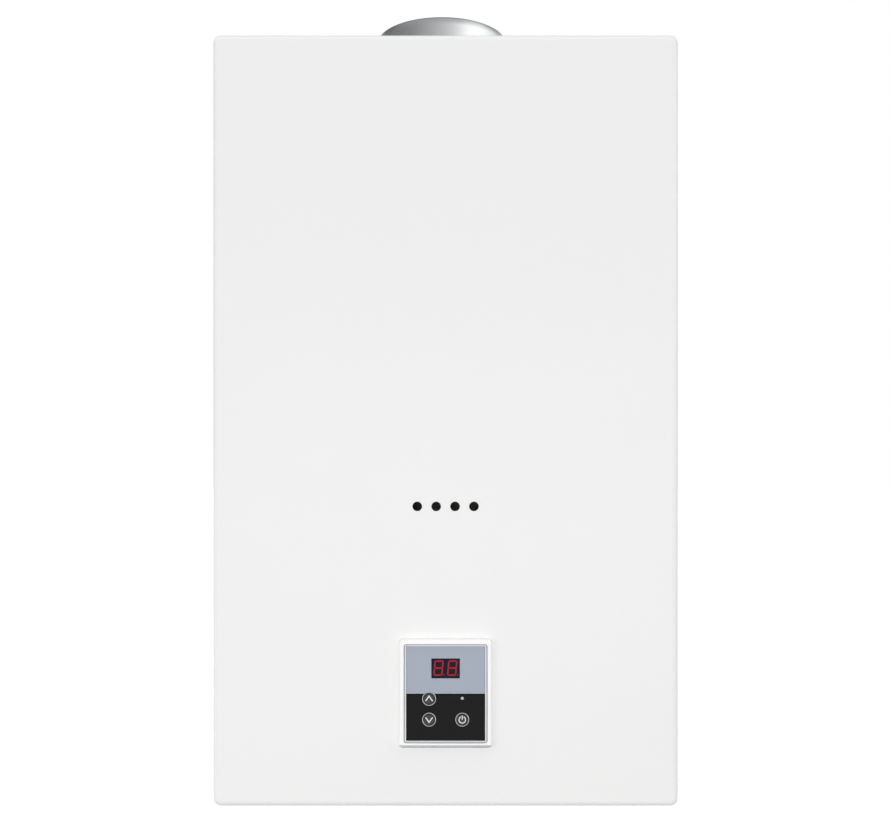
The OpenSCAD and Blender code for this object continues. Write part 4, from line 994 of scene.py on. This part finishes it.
def stage_floor(half, z):
    """Floor that takes the shadow of the object and is white where it is seen."""
    bm = bmesh.new()
    bm.faces.new([bm.verts.new((x * half, y * half, z)) for x, y in SQUARE])
    mesh = plain_mesh(bm)
    floor = bpy.data.objects.new("floor", mesh)
    scene.collection.objects.link(floor)
    mat = bpy.data.materials.new("pale_floor")
    mat.use_nodes = True
    tree = mat.node_tree
    tree.nodes.clear()
    paint = tree.nodes.new("ShaderNodeBsdfDiffuse")
    paint.inputs["Color"].default_value = (0.3, 0.3, 0.3, 1)
    rays = tree.nodes.new("ShaderNodeLightPath").outputs
    seen = combine(tree, "MAXIMUM", rays["Is Camera Ray"], rays["Is Glossy Ray"])
    seen = combine(tree, "MAXIMUM", seen, rays["Is Transmission Ray"])
    glow = tree.nodes.new("ShaderNodeEmission")
    feed(tree, glow.inputs["Strength"], combine(tree, "MULTIPLY", seen, 0.92))
    both = tree.nodes.new("ShaderNodeAddShader")
    feed(tree, both.inputs[0], paint.outputs[0])
    feed(tree, both.inputs[1], glow.outputs[0])
    out = tree.nodes.new("ShaderNodeOutputMaterial")
    feed(tree, out.inputs[0], both.outputs[0])
    mesh.materials.append(mat)


def stage_world():
    """White where it is seen, with a dim room in front for reflections, and soft grey light on the object."""
    world = bpy.data.worlds.new("studio")
    scene.world = world
    world.use_nodes = True
    tree = world.node_tree
    tree.nodes.clear()
    rays = tree.nodes.new("ShaderNodeLightPath").outputs
    coord = tree.nodes.new("ShaderNodeTexCoord")
    split = tree.nodes.new("ShaderNodeSeparateXYZ")
    tree.links.new(coord.outputs["Generated"], split.inputs[0])
    side, depth, height = split.outputs
    left_to_right = spread(tree, side, 0.0, 1.0, -1.0, 1.0)
    # Reflections see walls that are dim on the left, bright on the right and white behind the object
    front = ramp(tree, left_to_right, [(0.07, 0.28), (0.25, 0.47), (0.50, 0.76), (0.62, 0.94), (0.71, 1.18),
                                       (0.80, 1.6), (0.97, 1.6), (1.0, 1.3)])
    front = combine(tree, "MULTIPLY", front, spread(tree, depth, 1.0, 0.5, 0.10, 0.45))
    walls = mixed(tree, spread(tree, depth, 0.0, 1.0, 0.45, 0.85), front, 1.0)
    # Over the walls is a greyer ceiling, darker straight overhead
    ceiling = ramp(tree, left_to_right, [(0.1, 0.40), (0.3, 0.50), (0.5, 0.56), (0.72, 0.58), (0.82, 0.68),
                                         (0.90, 0.80), (0.96, 0.92)])
    ceiling = combine(tree, "MULTIPLY", ceiling, spread(tree, depth, 1.0, 0.4, -0.2, 0.3))
    room = mixed(tree, spread(tree, height, 0.0, 1.0, 0.41, 0.55), walls, ceiling)
    room = combine(tree, "MULTIPLY", room, spread(tree, height, 1.05, 0.42, 0.76, 0.92))
    # Plain light on the object comes more from above than from below, and from pale walls on both sides
    plain = ramp(tree, left_to_right, [(0.0, 1.35), (0.15, 1.2), (0.35, 0.97),
                                       (0.65, 0.97), (0.85, 1.2), (1.0, 1.35)])
    plain = combine(tree, "MULTIPLY", plain, spread(tree, height, 0.56, 0.78, -0.6, 0.8))
    lit_by = mixed(tree, rays["Is Glossy Ray"], plain, room)
    seen = combine(tree, "MAXIMUM", rays["Is Camera Ray"], rays["Is Transmission Ray"])
    back = tree.nodes.new("ShaderNodeBackground")
    back.inputs["Color"].default_value = (1, 1, 1, 1)
    feed(tree, back.inputs["Strength"], mixed(tree, seen, lit_by, 1.0))
    out = tree.nodes.new("ShaderNodeOutputWorld")
    feed(tree, out.inputs[0], back.outputs[0])


stage_floor(half=9.0, z=-1.15)
stage_world()


# Lamps and camera, in metres

def lamp(name, at, target, size, power, glossy=True, diffuse=True):
    """Flat lamp that faces a target; the camera never sees it."""
    light = bpy.data.lights.new(name, "AREA")
    light.shape = "RECTANGLE"
    light.size, light.size_y = size
    light.energy = power
    obj = bpy.data.objects.new(name, light)
    obj.location = at
    obj.rotation_euler = (Vector(target) - Vector(at)).to_track_quat("-Z", "Y").to_euler()
    obj.visible_camera = False
    obj.visible_glossy = glossy
    obj.visible_diffuse = diffuse
    scene.collection.objects.link(obj)


CENTRE = (0, -0.1, -0.3)
ABOVE_COLLAR = (0, -0.1, 0.1)
lamp("front_key", at=(0.1, -3.0, -0.6), target=CENTRE, size=(2.0, 1.0), power=28.2, glossy=False)
lamp("right_box", at=(1.85, -1.05, 0.6), target=ABOVE_COLLAR, size=(1.5, 2.0), power=2, diffuse=False)
lamp("left_fill", at=(-2.2, -2.2, -0.45), target=CENTRE, size=(1.6, 1.2), power=11, glossy=False)
lamp("top_light", at=(0.1, -0.7, 2.0), target=CENTRE, size=(1.8, 1.4), power=5, glossy=False)

# The camera looks straight and level at the front, from 0.67 m before it
camera = bpy.data.cameras.new("camera")
camera.lens = 36.2
camera.sensor_width = 36
eye = bpy.data.objects.new("camera", camera)
eye.location = (-0.00045, -0.835, -0.296)
eye.rotation_euler = (math.pi / 2, 0, 0)
scene.collection.objects.link(eye)
scene.camera = eye
scene.view_settings.view_transform = "Standard"
